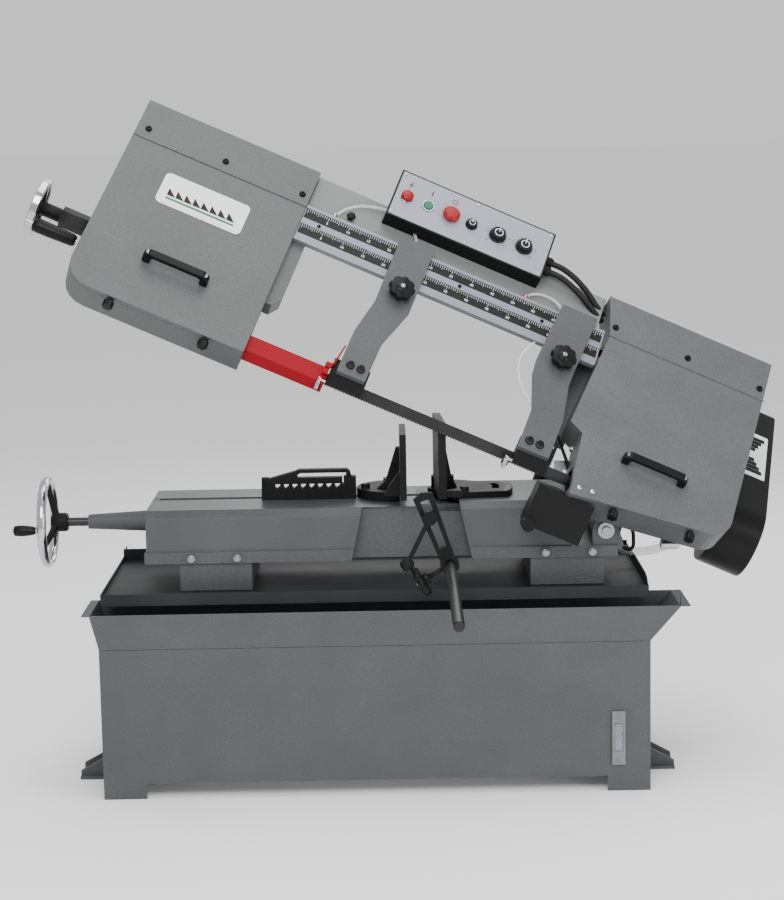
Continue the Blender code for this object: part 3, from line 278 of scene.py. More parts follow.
def turned(profile, centre=(0, 0, 0), axis="x", n=40, ring=False):
    """Revolve (radius, height) pairs about an axis through centre."""
    def put(r, h, t):
        a, b = r * cos(t), r * sin(t)
        p = {"x": (h, a, b), "y": (b, h, a), "z": (a, b, h)}[axis]
        return tuple(p[i] + centre[i] for i in range(3))
    verts, rows = [], []
    for r, h in profile:
        if r == 0:
            rows.append([len(verts)] * n)
            verts.append(put(0, h, 0))
        else:
            rows.append(list(range(len(verts), len(verts) + n)))
            verts += [put(r, h, 2 * pi * k / n) for k in range(n)]
    pairs = list(zip(rows, rows[1:])) + ([(rows[-1], rows[0])] if ring else [])
    faces = []
    for lo, hi in pairs:
        for k in range(n):
            f = [lo[k], lo[(k + 1) % n], hi[(k + 1) % n], hi[k]]
            f = [v for i, v in enumerate(f) if v not in f[:i]]
            if len(f) > 2:
                faces.append(tuple(f))
    return verts, faces


def soft_rod(centre, r, a, b, axis="x", n=40, c=0.001):
    """Round bar with chamfered ends."""
    return turned([(0, a), (r - c, a), (r, a + c), (r, b - c), (r - c, b), (0, b)], centre, axis, n)


def torus(centre, r, t, axis="x", n=96, m=20, flat=1.0):
    prof = [(r + t * cos(2 * pi * k / m), t * flat * sin(2 * pi * k / m)) for k in range(m)]
    return turned(prof, centre, axis, n, ring=True)


def taper(p, q, r0, r1, n=24):
    """Round bar between two points whose radius runs from r0 to r1."""
    p, q = Vector(p), Vector(q)
    turn = (q - p).to_track_quat("Z", "Y").to_matrix()
    verts, faces = turned([(0, 0), (r0, 0), (r1, (q - p).length), (0, (q - p).length)], axis="z", n=n)
    return [tuple(p + turn @ Vector(v)) for v in verts], faces


def spun(solid, mat):
    return [tuple(mat @ Vector(v)) for v in solid[0]], solid[1]


def disc(cx, cz, r, n=32):
    return [(cx + r * cos(2 * pi * k / n), cz + r * sin(2 * pi * k / n)) for k in range(n)]


def rounded(x0, x1, z0, z1, r, n=5):
    """Rectangle with round corners, as (x, z) points."""
    pts = []
    for cx, cz, start in ((x1 - r, z1 - r, 0), (x0 + r, z1 - r, 90), (x0 + r, z0 + r, 180),
                          (x1 - r, z0 + r, 270)):
        pts += [(cx + r * cos(radians(start + 90 * k / n)), cz + r * sin(radians(start + 90 * k / n)))
                for k in range(n + 1)]
    return pts


# ---------------------------------------------------------------- pieces
def dress(ob, mat, body, smooth=35, round_edges=0.0):
    """Material, shading, rounded edges and the body that the piece rides on."""
    ob.data.materials.clear()
    ob.data.materials.append(M[mat])
    ob.data.shade_smooth()
    ob.data.set_sharp_from_angle(angle=radians(smooth))
    if round_edges:
        mod = ob.modifiers.new("round", "BEVEL")
        mod.width = round_edges
        mod.segments = 3
        mod.limit_method = "ANGLE"
        mod.angle_limit = radians(smooth)
    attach(ob, body)
    return ob


def piece(name, solids, mat, body, at=HEAD, smooth=35, round_edges=0.0):
    verts, faces = [], []
    for v, f in solids:
        base = len(verts)
        verts += v
        faces += [tuple(i + base for i in face) for face in f]
    mesh = bpy.data.meshes.new(name)
    mesh.from_pydata(verts, [], faces)
    bm = bmesh.new()
    bm.from_mesh(mesh)
    bmesh.ops.recalc_face_normals(bm, faces=bm.faces)
    bm.to_mesh(mesh)
    bm.free()
    ob = bpy.data.objects.new(name, mesh)
    bpy.context.scene.collection.objects.link(ob)
    ob.matrix_world = at
    return dress(ob, mat, body, smooth, round_edges)


def from_curve(name, curve, mat, body, at, turn=Matrix.Identity(4)):
    """Turns a curve or text into a mesh piece."""
    temp = bpy.data.objects.new(name + "_curve", curve)
    bpy.context.scene.collection.objects.link(temp)
    bpy.context.view_layer.update()
    mesh = bpy.data.meshes.new_from_object(temp.evaluated_get(bpy.context.evaluated_depsgraph_get()))
    bpy.data.objects.remove(temp)
    mesh.transform(turn)
    bm = bmesh.new()
    bm.from_mesh(mesh)
    bmesh.ops.remove_doubles(bm, verts=bm.verts, dist=1e-6)
    bm.to_mesh(mesh)
    bm.free()
    mesh.name = name
    ob = bpy.data.objects.new(name, mesh)
    bpy.context.scene.collection.objects.link(ob)
    ob.matrix_world = at
    return dress(ob, mat, body)


FACING = Matrix.Rotation(pi / 2, 4, "X")     # a flat x, y drawing stands up facing -Y


def plate(name, outline, holes, y_front, thick, mat, body, at=HEAD):
    """Flat plate facing -Y with holes, from (x, z) outlines."""
    curve = bpy.data.curves.new(name, "CURVE")
    curve.dimensions = "2D"
    curve.fill_mode = "BOTH"
    curve.extrude = thick / 2
    for pts in [outline] + list(holes):
        spline = curve.splines.new("POLY")
        spline.points.add(len(pts) - 1)
        for p, (x, z) in zip(spline.points, pts):
            p.co = (x, z, 0, 1)
        spline.use_cyclic_u = True
    turn = Matrix.Translation((0, y_front + thick / 2, 0)) @ FACING
    return from_curve(name, curve, mat, body, at, turn)


def hose(name, points, radius, mat, body, at=HEAD):
    """Smooth flexible tube through points."""
    curve = bpy.data.curves.new(name, "CURVE")
    curve.dimensions = "3D"
    curve.resolution_u = 14
    curve.bevel_depth = radius
    curve.bevel_resolution = 5
    curve.use_fill_caps = True
    spline = curve.splines.new("BEZIER")
    spline.bezier_points.add(len(points) - 1)
    for bp, p in zip(spline.bezier_points, points):
        bp.co = p
        bp.handle_left_type = bp.handle_right_type = "AUTO"
    return from_curve(name, curve, mat, body, at)


def lettering(name, items, y_front, mat, body, at=HEAD):
    """Generic scale numbers, each (text, x, z, height), as one flat mesh facing -Y."""
    verts, faces = [], []
    for text, x, z, size in items:
        curve = bpy.data.curves.new(name, "FONT")
        curve.body = text
        curve.size = size
        curve.align_x = "CENTER"
        curve.align_y = "CENTER"
        curve.extrude = 0.00012
        curve.resolution_u = 3
        temp = bpy.data.objects.new(name + "_text", curve)
        bpy.context.scene.collection.objects.link(temp)
        bpy.context.view_layer.update()
        dg = bpy.context.evaluated_depsgraph_get()
        mesh = bpy.data.meshes.new_from_object(temp.evaluated_get(dg))
        bpy.data.objects.remove(temp)
        mesh.transform(Matrix.Translation((x, y_front, z)) @ FACING)
        base = len(verts)
        verts += [tuple(v.co) for v in mesh.vertices]
        faces += [tuple(i + base for i in p.vertices) for p in mesh.polygons]
    return piece(name, [(verts, faces)], mat, body, at)


def socket_screw(centre, r, height, axis="y", sign=-1):
    """Cap screw head with a round recess, standing out along sign * axis."""
    head = [(r * 0.50, 0.35), (r * 0.50, 1.0), (r * 0.88, 1.0), (r, 0.86), (r, 0.0)]
    cup = turned([(0, sign * height * 0.35)] + [(a, sign * height * h) for a, h in head]
                 + [(0, 0)], centre, axis, 24)
    return cup


def washer(centre, r, bore, height, axis="y", sign=-1):
    return turned([(bore, 0), (r, 0), (r, sign * height * 0.7), (r - height * 0.4, sign * height),
                   (bore, sign * height)], centre, axis, 32, ring=True)


def hex_head(centre, r, height, axis="y", sign=-1):
    return turned([(0, 0), (r, 0), (r, sign * height * 0.8), (r * 0.9, sign * height), (0, sign * height)],
                  centre, axis, 6)


# ---------------------------------------------------------------- CAD nodes: finish and rounded edges
FINISH = {
    "paint": ["wheel_box_left", "wheel_box_right", "door_left", "door_right", "gearbox", "motor"],
    # the stand parts take the darker enamel copy, which paints shade into their colour
    "stand": ["cabinet", "trough", "pedestal_left", "pedestal_right", "bed", "guide_arm_left",
              "guide_arm_right"],
    "plate": ["beam", "sight_gauge"],
    "cast": ["vise_carriage", "movable_jaw", "rack_bar", "rack_handle", "quadrant", "fixed_jaw",
             "stop_arm", "stop_lever", "idler_carriage", "idler_wheel", "drive_wheel", "brush_cover",
             "guide_block_left", "guide_block_right", "lift_barrel"],
    "plastic": ["handle_left", "handle_right", "latch_left_outer", "latch_left_inner",
                "latch_right_inner", "latch_right_outer", "belt_guard", "control_box"],
    "steel": ["pivot_shaft", "worm_pulley", "motor_pulley"],
    "rail": ["rail"],
    "blade": ["stop_rod"],
    "chrome": ["lift_rod"],
    "tray": ["chip_tray"],
    "red": ["blade_guard"],
    "red_cap": ["stop_button"],
    "green": ["start_button"],
    "rubber": ["belt"],
}
ROUND = {"trough": 0.0012, "bed": 0.0012, "door_left": 0.0010, "door_right": 0.0010,
         "handle_left": 0.0030, "handle_right": 0.0030, "guide_arm_left": 0.0012,
         "guide_arm_right": 0.0012, "beam": 0.0020, "belt_guard": 0.0025, "control_box": 0.0015,
         "movable_jaw": 0.0010, "fixed_jaw": 0.0010, "stop_arm": 0.0015, "rack_handle": 0.0012,
         "pedestal_left": 0.0015, "pedestal_right": 0.0015, "chip_tray": 0.0006, "quadrant": 0.0008}
for mat, names in FINISH.items():
    for name in names:
        ob = NODES[name]
        ob.data.materials.clear()
        ob.data.materials.append(M[mat])
        if name in ROUND:
            weld = ob.modifiers.new("weld", "WELD")
            weld.merge_threshold = 0.00001
            flat = ob.modifiers.new("flats", "DECIMATE")
            flat.decimate_type = "DISSOLVE"
            flat.angle_limit = radians(0.5)
            mod = ob.modifiers.new("round", "BEVEL")
            mod.width = ROUND[name]
            mod.segments = 3
            mod.limit_method = "ANGLE"
            mod.angle_limit = radians(35)
            mod.miter_outer = "MITER_ARC"
            even = ob.modifiers.new("even", "WEIGHTED_NORMAL")
            even.keep_sharp = False


# ---------------------------------------------------------------- wheel boxes, doors and their trim
def hinge_trim(name, screws, x0, x1, bend_z=0.377):
    """Row of black screws on the fixed strip, and a piano hinge barrel along its lower edge."""
    heads = []
    for x in screws:
        heads.append(washer((x, BOX_F, 0.405), 0.0078, 0.003, 0.0012))
        heads.append(socket_screw((x, BOX_F - 0.001, 0.405), 0.0058, 0.0042))
    piece(name + "_screws", heads, "plastic", "head")
    knuckle, count = 0.030, int((x1 - x0) / 0.031)
    barrels = [soft_rod((x0 + 0.012 + 0.031 * k, BOX_F - 0.0008, bend_z), 0.0014, 0, knuckle, "x", 12, 0.0003)
               for k in range(count)]
    piece(name + "_hinge", barrels, "paint", "head")


hinge_trim("left_strip", (-1.272, -1.087, -0.902), -1.298, -0.883)
hinge_trim("right_strip", (-0.137, 0.041, 0.219), -0.145, 0.232)


def handle_bolts(side, x):
    """Recessed bolts of a door handle."""
    solids = []
    for s in (-1, 1):
        solids.append(socket_screw((x + s * 0.066, BOX_F - 0.0305, 0.079), 0.0046, 0.0012))
    piece("handle_bolts_" + side, solids, "steel", "door_" + side)


handle_bolts("left", -1.0860)
handle_bolts("right", 0.0365)

# plain rating plate: dark border, white ground and a row of saw teeth
BADGE = (-1.193, -0.993, 0.231, 0.316)
bx0, bx1, bz0, bz1 = BADGE
plate("badge_border", rounded(bx0, bx1, bz0, bz1, 0.012), [], BOX_F - 0.0012, 0.0012, "chrome", "door_left")
plate("badge_ground", rounded(bx0 + 0.004, bx1 - 0.004, bz0 + 0.004, bz1 - 0.004, 0.009), [],
      BOX_F - 0.0018, 0.0006, "white", "door_left")
tooth, teeth_z = 0.0200, bz0 + 0.026
row = [(bx0 + 0.020, teeth_z)]
for k in range(8):
    row += [(bx0 + 0.020 + tooth * k, teeth_z + 0.020), (bx0 + 0.020 + tooth * (k + 1), teeth_z)]
plate("badge_teeth", row[::-1], [], BOX_F - 0.0022, 0.0004, "ink", "door_left")
plate("badge_line", rounded(bx0 + 0.020, bx1 - 0.020, bz0 + 0.016, bz0 + 0.021, 0.002), [],
      BOX_F - 0.0022, 0.0004, "green", "door_left")


# ---------------------------------------------------------------- rail: two graduated strips
RAIL_X = (-0.880, -0.160)
for strip, (z0, z1) in {"upper": (0.352, 0.380), "lower": (0.308, 0.336)}.items():
    piece("rail_scale_" + strip, [box(RAIL_X[0], RAIL_X[1], -0.0344, -0.0336, z0 + 0.0005, z1 - 0.0005)],
          "ink", "head")
    ticks = []
    for k in range(int((RAIL_X[1] - RAIL_X[0]) / 0.005)):
        x = RAIL_X[0] + 0.004 + 0.005 * k
        length = 0.0120 if k % 10 == 0 else 0.0100 if k % 5 == 0 else 0.0075
        ticks.append(box(x - 0.0004, x + 0.0004, -0.0347, -0.0343, z1 - 0.001 - length, z1 - 0.001))
    piece("rail_ticks_" + strip, ticks, "white", "head")
    numbers = [(str(5 * k), RAIL_X[0] + 0.004 + 0.05 * k, z0 + 0.0080, 0.0095) for k in range(1, 14)]
    lettering("rail_numbers_" + strip, numbers, -0.0347, "white", "head")
rail_bolts = [socket_screw((x, -0.0350, 0.344), 0.0042, 0.0025) for x in (-0.840, -0.500, -0.300)]
piece("rail_bolts", rail_bolts, "plastic", "head")


# ---------------------------------------------------------------- lobed hand knobs
def lobed(radius, a, b, lobes=8, depth=0.13, n=96, rings=7):
    """Hand knob along y: scalloped rim with a rounded edge, from y = a to y = b."""
    rows = []
    mid, half = (a + b) / 2, (b - a) / 2
    for k in range(rings):
        t = -pi / 2 + pi * k / (rings - 1)
        rows.append((0.84 + 0.16 * cos(t), mid + half * sin(t)))
    verts, faces = [], []
    for shrink, y in rows:
        for i in range(n):
            t = 2 * pi * i / n
            scallop = 1 - depth * (0.5 - 0.5 * cos(lobes * t)) ** 1.6
            r = radius * scallop * shrink
            verts.append((r * cos(t), y, r * sin(t)))
    for k in range(rings - 1):
        for i in range(n):
            j = (i + 1) % n
            faces.append((k * n + i, k * n + j, (k + 1) * n + j, (k + 1) * n + i))
    faces.append(tuple(range(n)))
    faces.append(tuple(range(len(verts) - 1, len(verts) - n - 1, -1)))
    return verts, faces


def hand_knob(node, body, at, radius, a, b, stem):
    """Replaces a plain star knob; stem is (radius, y start, y end) parts behind it."""
    solids = [lobed(radius, a, b)]
    solids += [soft_rod((0, 0, 0), r, s, e, "y", 32, 0.0008) for r, s, e in stem]
    solids.append(turned([(0, a - 0.0026), (radius * 0.34, a - 0.0022), (radius * 0.42, a + 0.0006),
                          (0, a + 0.0006)], axis="y"))
    ob = piece(node + "_moulding", solids, "plastic", body, at, smooth=50)
    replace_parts(ob, node)
    insert = [socket_screw((0, a - 0.0024, 0), radius * 0.17, 0.0016)]
    piece(node + "_insert", insert, "steel", body, at)


def shifted(m, x, y, z):
    return m @ Matrix.Translation((x, y, z))


for side, knob_x in (("left", -0.620), ("right", -0.233)):
    name = "guide_knob_" + side
    hand_knob(name, name, shifted(HEAD, knob_x, 0, 0.252), 0.0305, -0.0775, -0.060,
              [(0.014, -0.062, -0.0504), (0.006, -0.052, -0.030)])

stop_axis = Vector(JOINT["stop_knob_turn"]["axis"]).normalized()
stop_frame = Matrix.Translation(JOINT["stop_knob_turn"]["pos_m"]) \
    @ stop_axis.to_track_quat("Y", "Z").to_matrix().to_4x4()
hand_knob("stop_knob", "stop_knob", stop_frame, 0.0350, -0.008, 0.007,
          [(0.012, 0.005, 0.018), (0.005, 0.015, 0.050)])

# ---------------------------------------------------------------- handwheels
WHEEL_X = -0.741
hub = (0, VISE_Y, VISE_Z)
rim = piece("vise_wheel_rim", [torus((WHEEL_X, VISE_Y, VISE_Z), 0.0955, 0.0083, "x", 128, 20, 1.28)],
            "chrome", "vise_handwheel", BASE)
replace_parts(rim, "vise_handwheel")
arms = [turned([(0, -0.733), (0.0150, -0.733), (0.0195, -0.729), (0.0213, -0.720), (0.0213, -0.700),
                (0.0190, -0.695), (0, -0.695)], hub, "x")]
for k in range(3):
    a = radians(90 + 120 * k)
    start = (WHEEL_X + 0.020, VISE_Y + 0.012 * cos(a), VISE_Z + 0.012 * sin(a))
    end = (WHEEL_X, VISE_Y + 0.0925 * cos(a), VISE_Z + 0.0925 * sin(a))
    arms.append(taper(start, end, 0.0088, 0.0058))
piece("vise_wheel_spokes", arms, "cast", "vise_handwheel", BASE, smooth=50)
thread = []
for k in range(330):
    x = -0.470 + 0.0015 * k
    thread.append((0.0100 if k % 2 else 0.0088, x))
screw = [(0, -0.703), (0.0094, -0.703), (0.0100, -0.7024), (0.0100, -0.480)] + thread[5:] + [(0, 0.026)]
piece("lead_screw", [turned(screw, hub, "x", 28)], "blade", "vise_handwheel", BASE)
crank = (WHEEL_X, VISE_Y - 0.095, VISE_Z - 0.001)
piece("vise_crank_bolt", [soft_rod(crank, 0.0050, -0.0635, 0.0, "x", 24, 0.0006),
                          socket_screw((crank[0] - 0.0612, crank[1], crank[2]), 0.0049, 0.0028, "x")],
      "steel", "vise_handwheel", BASE)
grip = [(0.0054, -0.0608), (0.0092, -0.0608), (0.0112, -0.0590), (0.0125, -0.0500), (0.0124, -0.0400),
        (0.0112, -0.0280), (0.0098, -0.0190), (0.0082, -0.0140), (0.0070, -0.0127), (0.0054, -0.0127)]
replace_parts(piece("vise_crank_grip", [turned(grip, crank, "x", 48, ring=True)], "plastic", "vise_crank",
                  BASE, smooth=60), "vise_crank")

TW = (-1.4265, 0.0745, WHEEL_Z)
tension_hub = (0, TW[1], TW[2])
band = [(0.0556, TW[0] - 0.0070), (0.0570, TW[0] - 0.0085), (0.0625, TW[0] - 0.0085),
        (0.0640, TW[0] - 0.0068), (0.0640, TW[0] + 0.0068), (0.0625, TW[0] + 0.0085),
        (0.0570, TW[0] + 0.0085), (0.0556, TW[0] + 0.0070)]
rim = piece("tension_wheel_rim", [turned(band, tension_hub, "x", 96, ring=True)], "chrome",
            "tension_handwheel")
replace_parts(rim, "tension_handwheel")
arms = [turned([(0, -1.4368), (0.0130, -1.4368), (0.0158, -1.4340), (0.0158, -1.3760), (0.0145, -1.3736),
                (0, -1.3736)], tension_hub, "x")]
for deg in (17, 137, 257):
    a = radians(deg)
    arms.append(taper((TW[0] + 0.004, TW[1] + 0.008 * cos(a), TW[2] + 0.008 * sin(a)),
                      (TW[0], TW[1] + 0.057 * cos(a), TW[2] + 0.057 * sin(a)), 0.0072, 0.0052))
piece("tension_wheel_spokes", arms, "cast", "tension_handwheel", smooth=50)
piece("tension_screw", [soft_rod(tension_hub, 0.0099, -1.376, -1.075, "x", 32)], "steel",
      "tension_handwheel")
TC = (TW[0], TW[1] - 0.0130, TW[2] - 0.0560)
piece("tension_crank_bolt", [soft_rod(TC, 0.0045, -0.004, 0.1120, "x", 24, 0.0006),
                             turned([(0, -0.0085), (0.0080, -0.0085), (0.0098, -0.0070), (0.0098, 0.0094),
                                     (0, 0.0094)], TC, "x")], "chrome", "tension_handwheel")
grip = [(0.0049, 0.0102), (0.0130, 0.0102), (0.0150, 0.0125), (0.0164, 0.0230), (0.0160, 0.0500),
        (0.0140, 0.1020), (0.0120, 0.1070), (0.0090, 0.1094), (0.0049, 0.1094)]
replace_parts(piece("tension_crank_grip", [turned(grip, TC, "x", 48, ring=True)], "plastic",
                  "tension_crank", smooth=60), "tension_crank")
sleeve = turned([(0.0207, -1.3722), (0.0228, -1.3722), (0.0238, -1.3705), (0.0238, -1.3015),
                 (0.0228, -1.3000), (0.0207, -1.3000)], tension_hub, "x", 6, ring=True)
piece("tension_nut_sleeve", [sleeve], "plastic", "head")


# ---------------------------------------------------------------- blade with teeth
def blade_path(step=0.0030):
    """Points round the two wheels: (x, z, tangent angle, twist), evenly spaced."""
    r, twist, g0, g1 = 0.1759, pi / 2 - LEAN, -0.800, -0.180
    out = []
    n = int((DRIVE_X - IDLER_X) / step)
    for k in range(n):
        x = IDLER_X + (DRIVE_X - IDLER_X) * k / n
        f = 1.0 if g0 < x < g1 else (x - IDLER_X) / (g0 - IDLER_X) if x <= g0 \
            else (DRIVE_X - x) / (DRIVE_X - g1)
        f = f * f * (3 - 2 * f)
        out.append((x, WHEEL_Z - r, 0.0, f * twist))
    m = int(pi * r / step)
    for k in range(m):
        a = -pi / 2 + pi * k / m
        out.append((DRIVE_X + r * cos(a), WHEEL_Z + r * sin(a), a + pi / 2, 0.0))
    for k in range(n):
        out.append((DRIVE_X - (DRIVE_X - IDLER_X) * k / n, WHEEL_Z + r, pi, 0.0))
    for k in range(m):
        a = pi / 2 + pi * k / m
        out.append((IDLER_X + r * cos(a), WHEEL_Z + r * sin(a), a + pi / 2, 0.0))
    return out


def blade_mesh():
    half_w, half_t, gullet = 0.0135, 0.00042, 0.0030
    verts, faces = [], []
    path = blade_path()
    for i, (x, z, tang, tw) in enumerate(path):
        across, normal = Vector((0, 1, 0)), Vector((-sin(tang), 0, cos(tang)))
        a = across * cos(tw) - normal * sin(tw)
        b = normal * cos(tw) + across * sin(tw)
        c = Vector((x, 0, z))
        tip = half_w - (gullet if i % 2 else 0.0)
        for w, t in ((tip, half_t), (tip, -half_t), (-half_w, -half_t), (-half_w, half_t)):
            verts.append(tuple(c + a * w + b * t))
    n = len(path)
    for i in range(n):
        j = (i + 1) % n
        for k in range(4):
            m = (k + 1) % 4
            faces.append((4 * i + k, 4 * i + m, 4 * j + m, 4 * j + k))
    return verts, faces


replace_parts(piece("blade_toothed", [blade_mesh()], "blade", "head", smooth=20), "blade")

# ---------------------------------------------------------------- guides
for side, bolts in (("left", (-0.662, -0.638)), ("right", (-0.244, -0.220))):
    heads = [socket_screw((x, -0.0570, 0.025), 0.0072, 0.0016) for x in bolts]
    heads += [washer((x, -0.0500, 0.025), 0.0098, 0.0076, 0.0014) for x in bolts]
    piece("guide_bolts_" + side, heads, "plastic", "guide_" + side)

# coolant nozzles on the guides, and clear hoses that loop over the beam into them
def nozzle(side, u):
    """Chrome spout and collar under the front of a guide block, in the arm frame."""
    c = (u, 0.0125, 0)
    piece("nozzle_" + side, [soft_rod(c, 0.0046, 0.050, 0.078, "z", 24, 0.0008),
                             turned([(0, 0.058), (0.0078, 0.058), (0.0078, 0.068), (0, 0.068)], c, "z", 6),
                             soft_rod((0, 0.0125, 0.072), 0.0035, u, u + 0.014, "x", 20, 0.0005)],
          "chrome", "guide_" + side, ARM)


nozzle("left", -0.712)
nozzle("right", -0.276)
HOSE_Y, HOSE_R = -0.0290, 0.0034
loops = {"left": [(-0.817, 0.393), (-0.795, 0.428), (-0.746, 0.458), (-0.680, 0.462), (-0.635, 0.432),
                  (-0.620, 0.394)],
         "right": [(-0.352, 0.394), (-0.336, 0.410), (-0.304, 0.418), (-0.276, 0.410), (-0.262, 0.394)]}
for side, pts in loops.items():
    tube = hose("coolant_hose_" + side, [(u, HOSE_Y, v) for u, v in pts], HOSE_R, "hose", "head")
    tube.parent = None
    tube.matrix_world = HEAD
    del tube["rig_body"]
    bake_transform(tube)
    piece("hose_elbow_" + side, [soft_rod((pts[0][0], HOSE_Y, 0), 0.0052, 0.3885, 0.3990, "z", 24, 0.0008)],
          "brass", "head")
hose("coolant_tail", [(-0.300, -0.030, 0.286), (-0.318, -0.030, 0.236), (-0.306, -0.030, 0.180),
                      (-0.274, -0.0300, 0.140), (-0.252, -0.0310, 0.120)], HOSE_R, "hose", "guide_right")
beam_knob = shifted(HEAD, -0.783, -0.0216, 0.408)
piece("beam_knob", [lobed(0.0105, -0.0150, -0.0060, 6), soft_rod((0, 0, 0), 0.0045, -0.0070, 0.0, "y", 24)],
      "plastic", "head", beam_knob, smooth=50)

# blade-break switch between the right guide and the right box
switch_plate = [(-0.167, 0.055), (-0.125, 0.075), (-0.112, 0.025), (-0.153, 0.004)]
plate("switch_plate", switch_plate, [disc(-0.138, 0.040, 0.0045, 20)], 0.029, 0.002, "steel", "head")
piece("switch_lever", [taper((-0.178, 0.026, 0.118), (-0.132, 0.026, 0.052), 0.0030, 0.0042)],
      "plastic", "head")
piece("switch_bolt", [hex_head((-0.137, 0.026, 0.100), 0.0080, 0.006),
                      soft_rod((-0.137, 0, 0.100), 0.0042, 0.018, 0.036, "y", 20)],
      "chrome", "head")
dome = [(0, 0.0), (0.0058, 0.0), (0.0056, -0.0018), (0.0036, -0.0034), (0, -0.0038)]
piece("door_right_bolts", [turned(dome, (x, BOX_F, z), "y", 28)
                           for x, z in ((-0.108, -0.030), (-0.078, -0.027))],
      "chrome", "door_right")

# ---------------------------------------------------------------- control box
CB = (-0.715, -0.336, 0.432, 0.566)
CONTROLS = {"pilot": (-0.684, 0.4965, 0.0150), "start": (-0.632, 0.4955, 0.0120),
            "stop": (-0.577, 0.4940, 0.0120), "select": (-0.526, 0.4945, 0.0066),
            "dial1": (-0.462, 0.4950, 0.0066), "dial2": (-0.397, 0.4940, 0.0066)}
panel = rounded(CB[0] + 0.004, CB[1] - 0.004, CB[2] + 0.004, CB[3] - 0.004, 0.003)
plate("control_panel", panel, [disc(x, z, r) for x, z, r in CONTROLS.values()], FACE - 0.0006, 0.0006,
      "panel", "head")
corners = [(x, z) for x in (CB[0] + 0.010, (CB[0] + CB[1]) / 2, CB[1] - 0.010)
           for z in (CB[2] + 0.010, CB[3] - 0.010)]
piece("panel_screws", [socket_screw((x, FACE - 0.0006, z), 0.0040, 0.0022) for x, z in corners],
      "chrome", "head")


def collar(x, z, bore, r, depth=0.0032):
    return turned([(bore, 0), (r, 0), (r, -depth * 0.7), (r - 0.0008, -depth), (bore, -depth)],
                  (x, FACE - 0.0007, z), "y", 40, ring=True)


piece("button_collars", [collar(*CONTROLS[k][:2], 0.0120, 0.0148) for k in ("start", "stop")]
      + [collar(CONTROLS["pilot"][0], CONTROLS["pilot"][1], 0.0151, 0.0172, 0.0024)], "chrome", "head")
px, pz = CONTROLS["pilot"][:2]
lamp = [(0, -0.0016), (0.0139, -0.0016), (0.0150, -0.0042), (0.0148, -0.0070), (0.0125, -0.0105),
        (0.0070, -0.0126), (0, -0.0132)]
piece("pilot_lens", [turned(lamp, (px, FACE, pz), "y", 40)], "red_cap", "head")


def ring_ticks(x, z, r0, r1, count, sweep):
    """Scale ticks round a dial, from -sweep to sweep degrees about its top."""
    out = []
    for k in range(count):
        a = radians(90 - sweep + 2 * sweep * k / (count - 1))
        w = 0.0005
        pts = [(r0, -w), (r1, -w), (r1, w), (r0, w)]
        pts = [(x + p * cos(a) - q * sin(a), z + p * sin(a) + q * cos(a)) for p, q in pts]
        out.append(prism(pts, FACE - 0.0010, FACE - 0.0006))
    return out


marks = []
for key in ("dial1", "dial2"):
    dx, dz, _ = CONTROLS[key]
    marks += ring_ticks(dx, dz, 0.0200, 0.0235, 21, 135)
sx, sz, _ = CONTROLS["select"]
marks += ring_ticks(sx, sz, 0.0165, 0.0205, 3, 45)
ux = CONTROLS["start"][0]
marks.append(box(ux - 0.0012, ux + 0.0012, FACE - 0.0010, FACE - 0.0006, 0.527, 0.539))
bolt = [(px + 0.004, 0.543), (px - 0.006, 0.531), (px - 0.0005, 0.532), (px - 0.004, 0.522),
        (px + 0.006, 0.534), (px + 0.0005, 0.533)]
piece("panel_marks", marks, "ink", "head")
ring_x = CONTROLS["stop"][0]
stop_ring = turned([(0.0052, 0), (0.0070, 0), (0.0070, -0.0004), (0.0052, -0.0004)],
                   (ring_x, FACE - 0.0006, 0.536), "y", 32, ring=True)
piece("panel_red_marks", [prism(bolt, FACE - 0.0010, FACE - 0.0006), stop_ring], "red_cap", "head")
lettering("panel_numbers", [(str(k), CONTROLS[key][0] + 0.0285 * cos(radians(225 - 27 * k)),
                             CONTROLS[key][1] + 0.0285 * sin(radians(225 - 27 * k)), 0.0062)
                            for key in ("dial1", "dial2") for k in range(0, 11, 2)],
          FACE - 0.0009, "ink", "head")


def control_knob(name, key, radius, height, ribs):
    """Fluted knob with a white pointer line, replacing the plain turned one."""
    x, z, _ = CONTROLS[key]
    at = shifted(HEAD, x, FACE, z)
    rows = [(1.0, -0.0005), (1.0, -height * 0.30), (0.90, -height * 0.40),
            (0.86, -height * 0.92), (0.78, -height)]
    n = ribs * 6
    verts, faces = [], []
    for row_no, (shrink, y) in enumerate(rows):
        for i in range(n):
            t = 2 * pi * i / n
            flute = 1 - (0.05 * (0.5 - 0.5 * cos(ribs * t)) if row_no > 1 else 0)
            verts.append((radius * shrink * flute * cos(t), y, radius * shrink * flute * sin(t)))
    for k in range(len(rows) - 1):
        for i in range(n):
            j = (i + 1) % n
            faces.append((k * n + i, k * n + j, (k + 1) * n + j, (k + 1) * n + i))
    faces += [tuple(range(n)), tuple(range(len(verts) - 1, len(verts) - n - 1, -1))]
    stem = soft_rod((0, 0, 0), 0.0058, 0.0, 0.0078, "y", 24, 0.0004)
    ob = piece(name + "_moulding", [(verts, faces), stem], "plastic", name, at, smooth=40)
    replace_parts(ob, name)
    piece(name + "_pointer", [box(-0.0009, 0.0009, -height - 0.0003, -height + 0.0001, radius * 0.10,
                                  radius * 0.76)], "white", name, at)
    piece(name + "_cap", [turned([(radius * 0.42, -height + 0.0001), (radius * 0.52, -height + 0.0001),
                                  (radius * 0.52, -height - 0.0004), (radius * 0.42, -height - 0.0004)],
                                 axis="y", ring=True)], "chrome", name, at)


control_knob("speed_dial", "dial1", 0.0195, 0.0158, 20)
control_knob("feed_dial", "dial2", 0.0195, 0.0158, 20)
control_knob("selector", "select", 0.0140, 0.0118, 14)

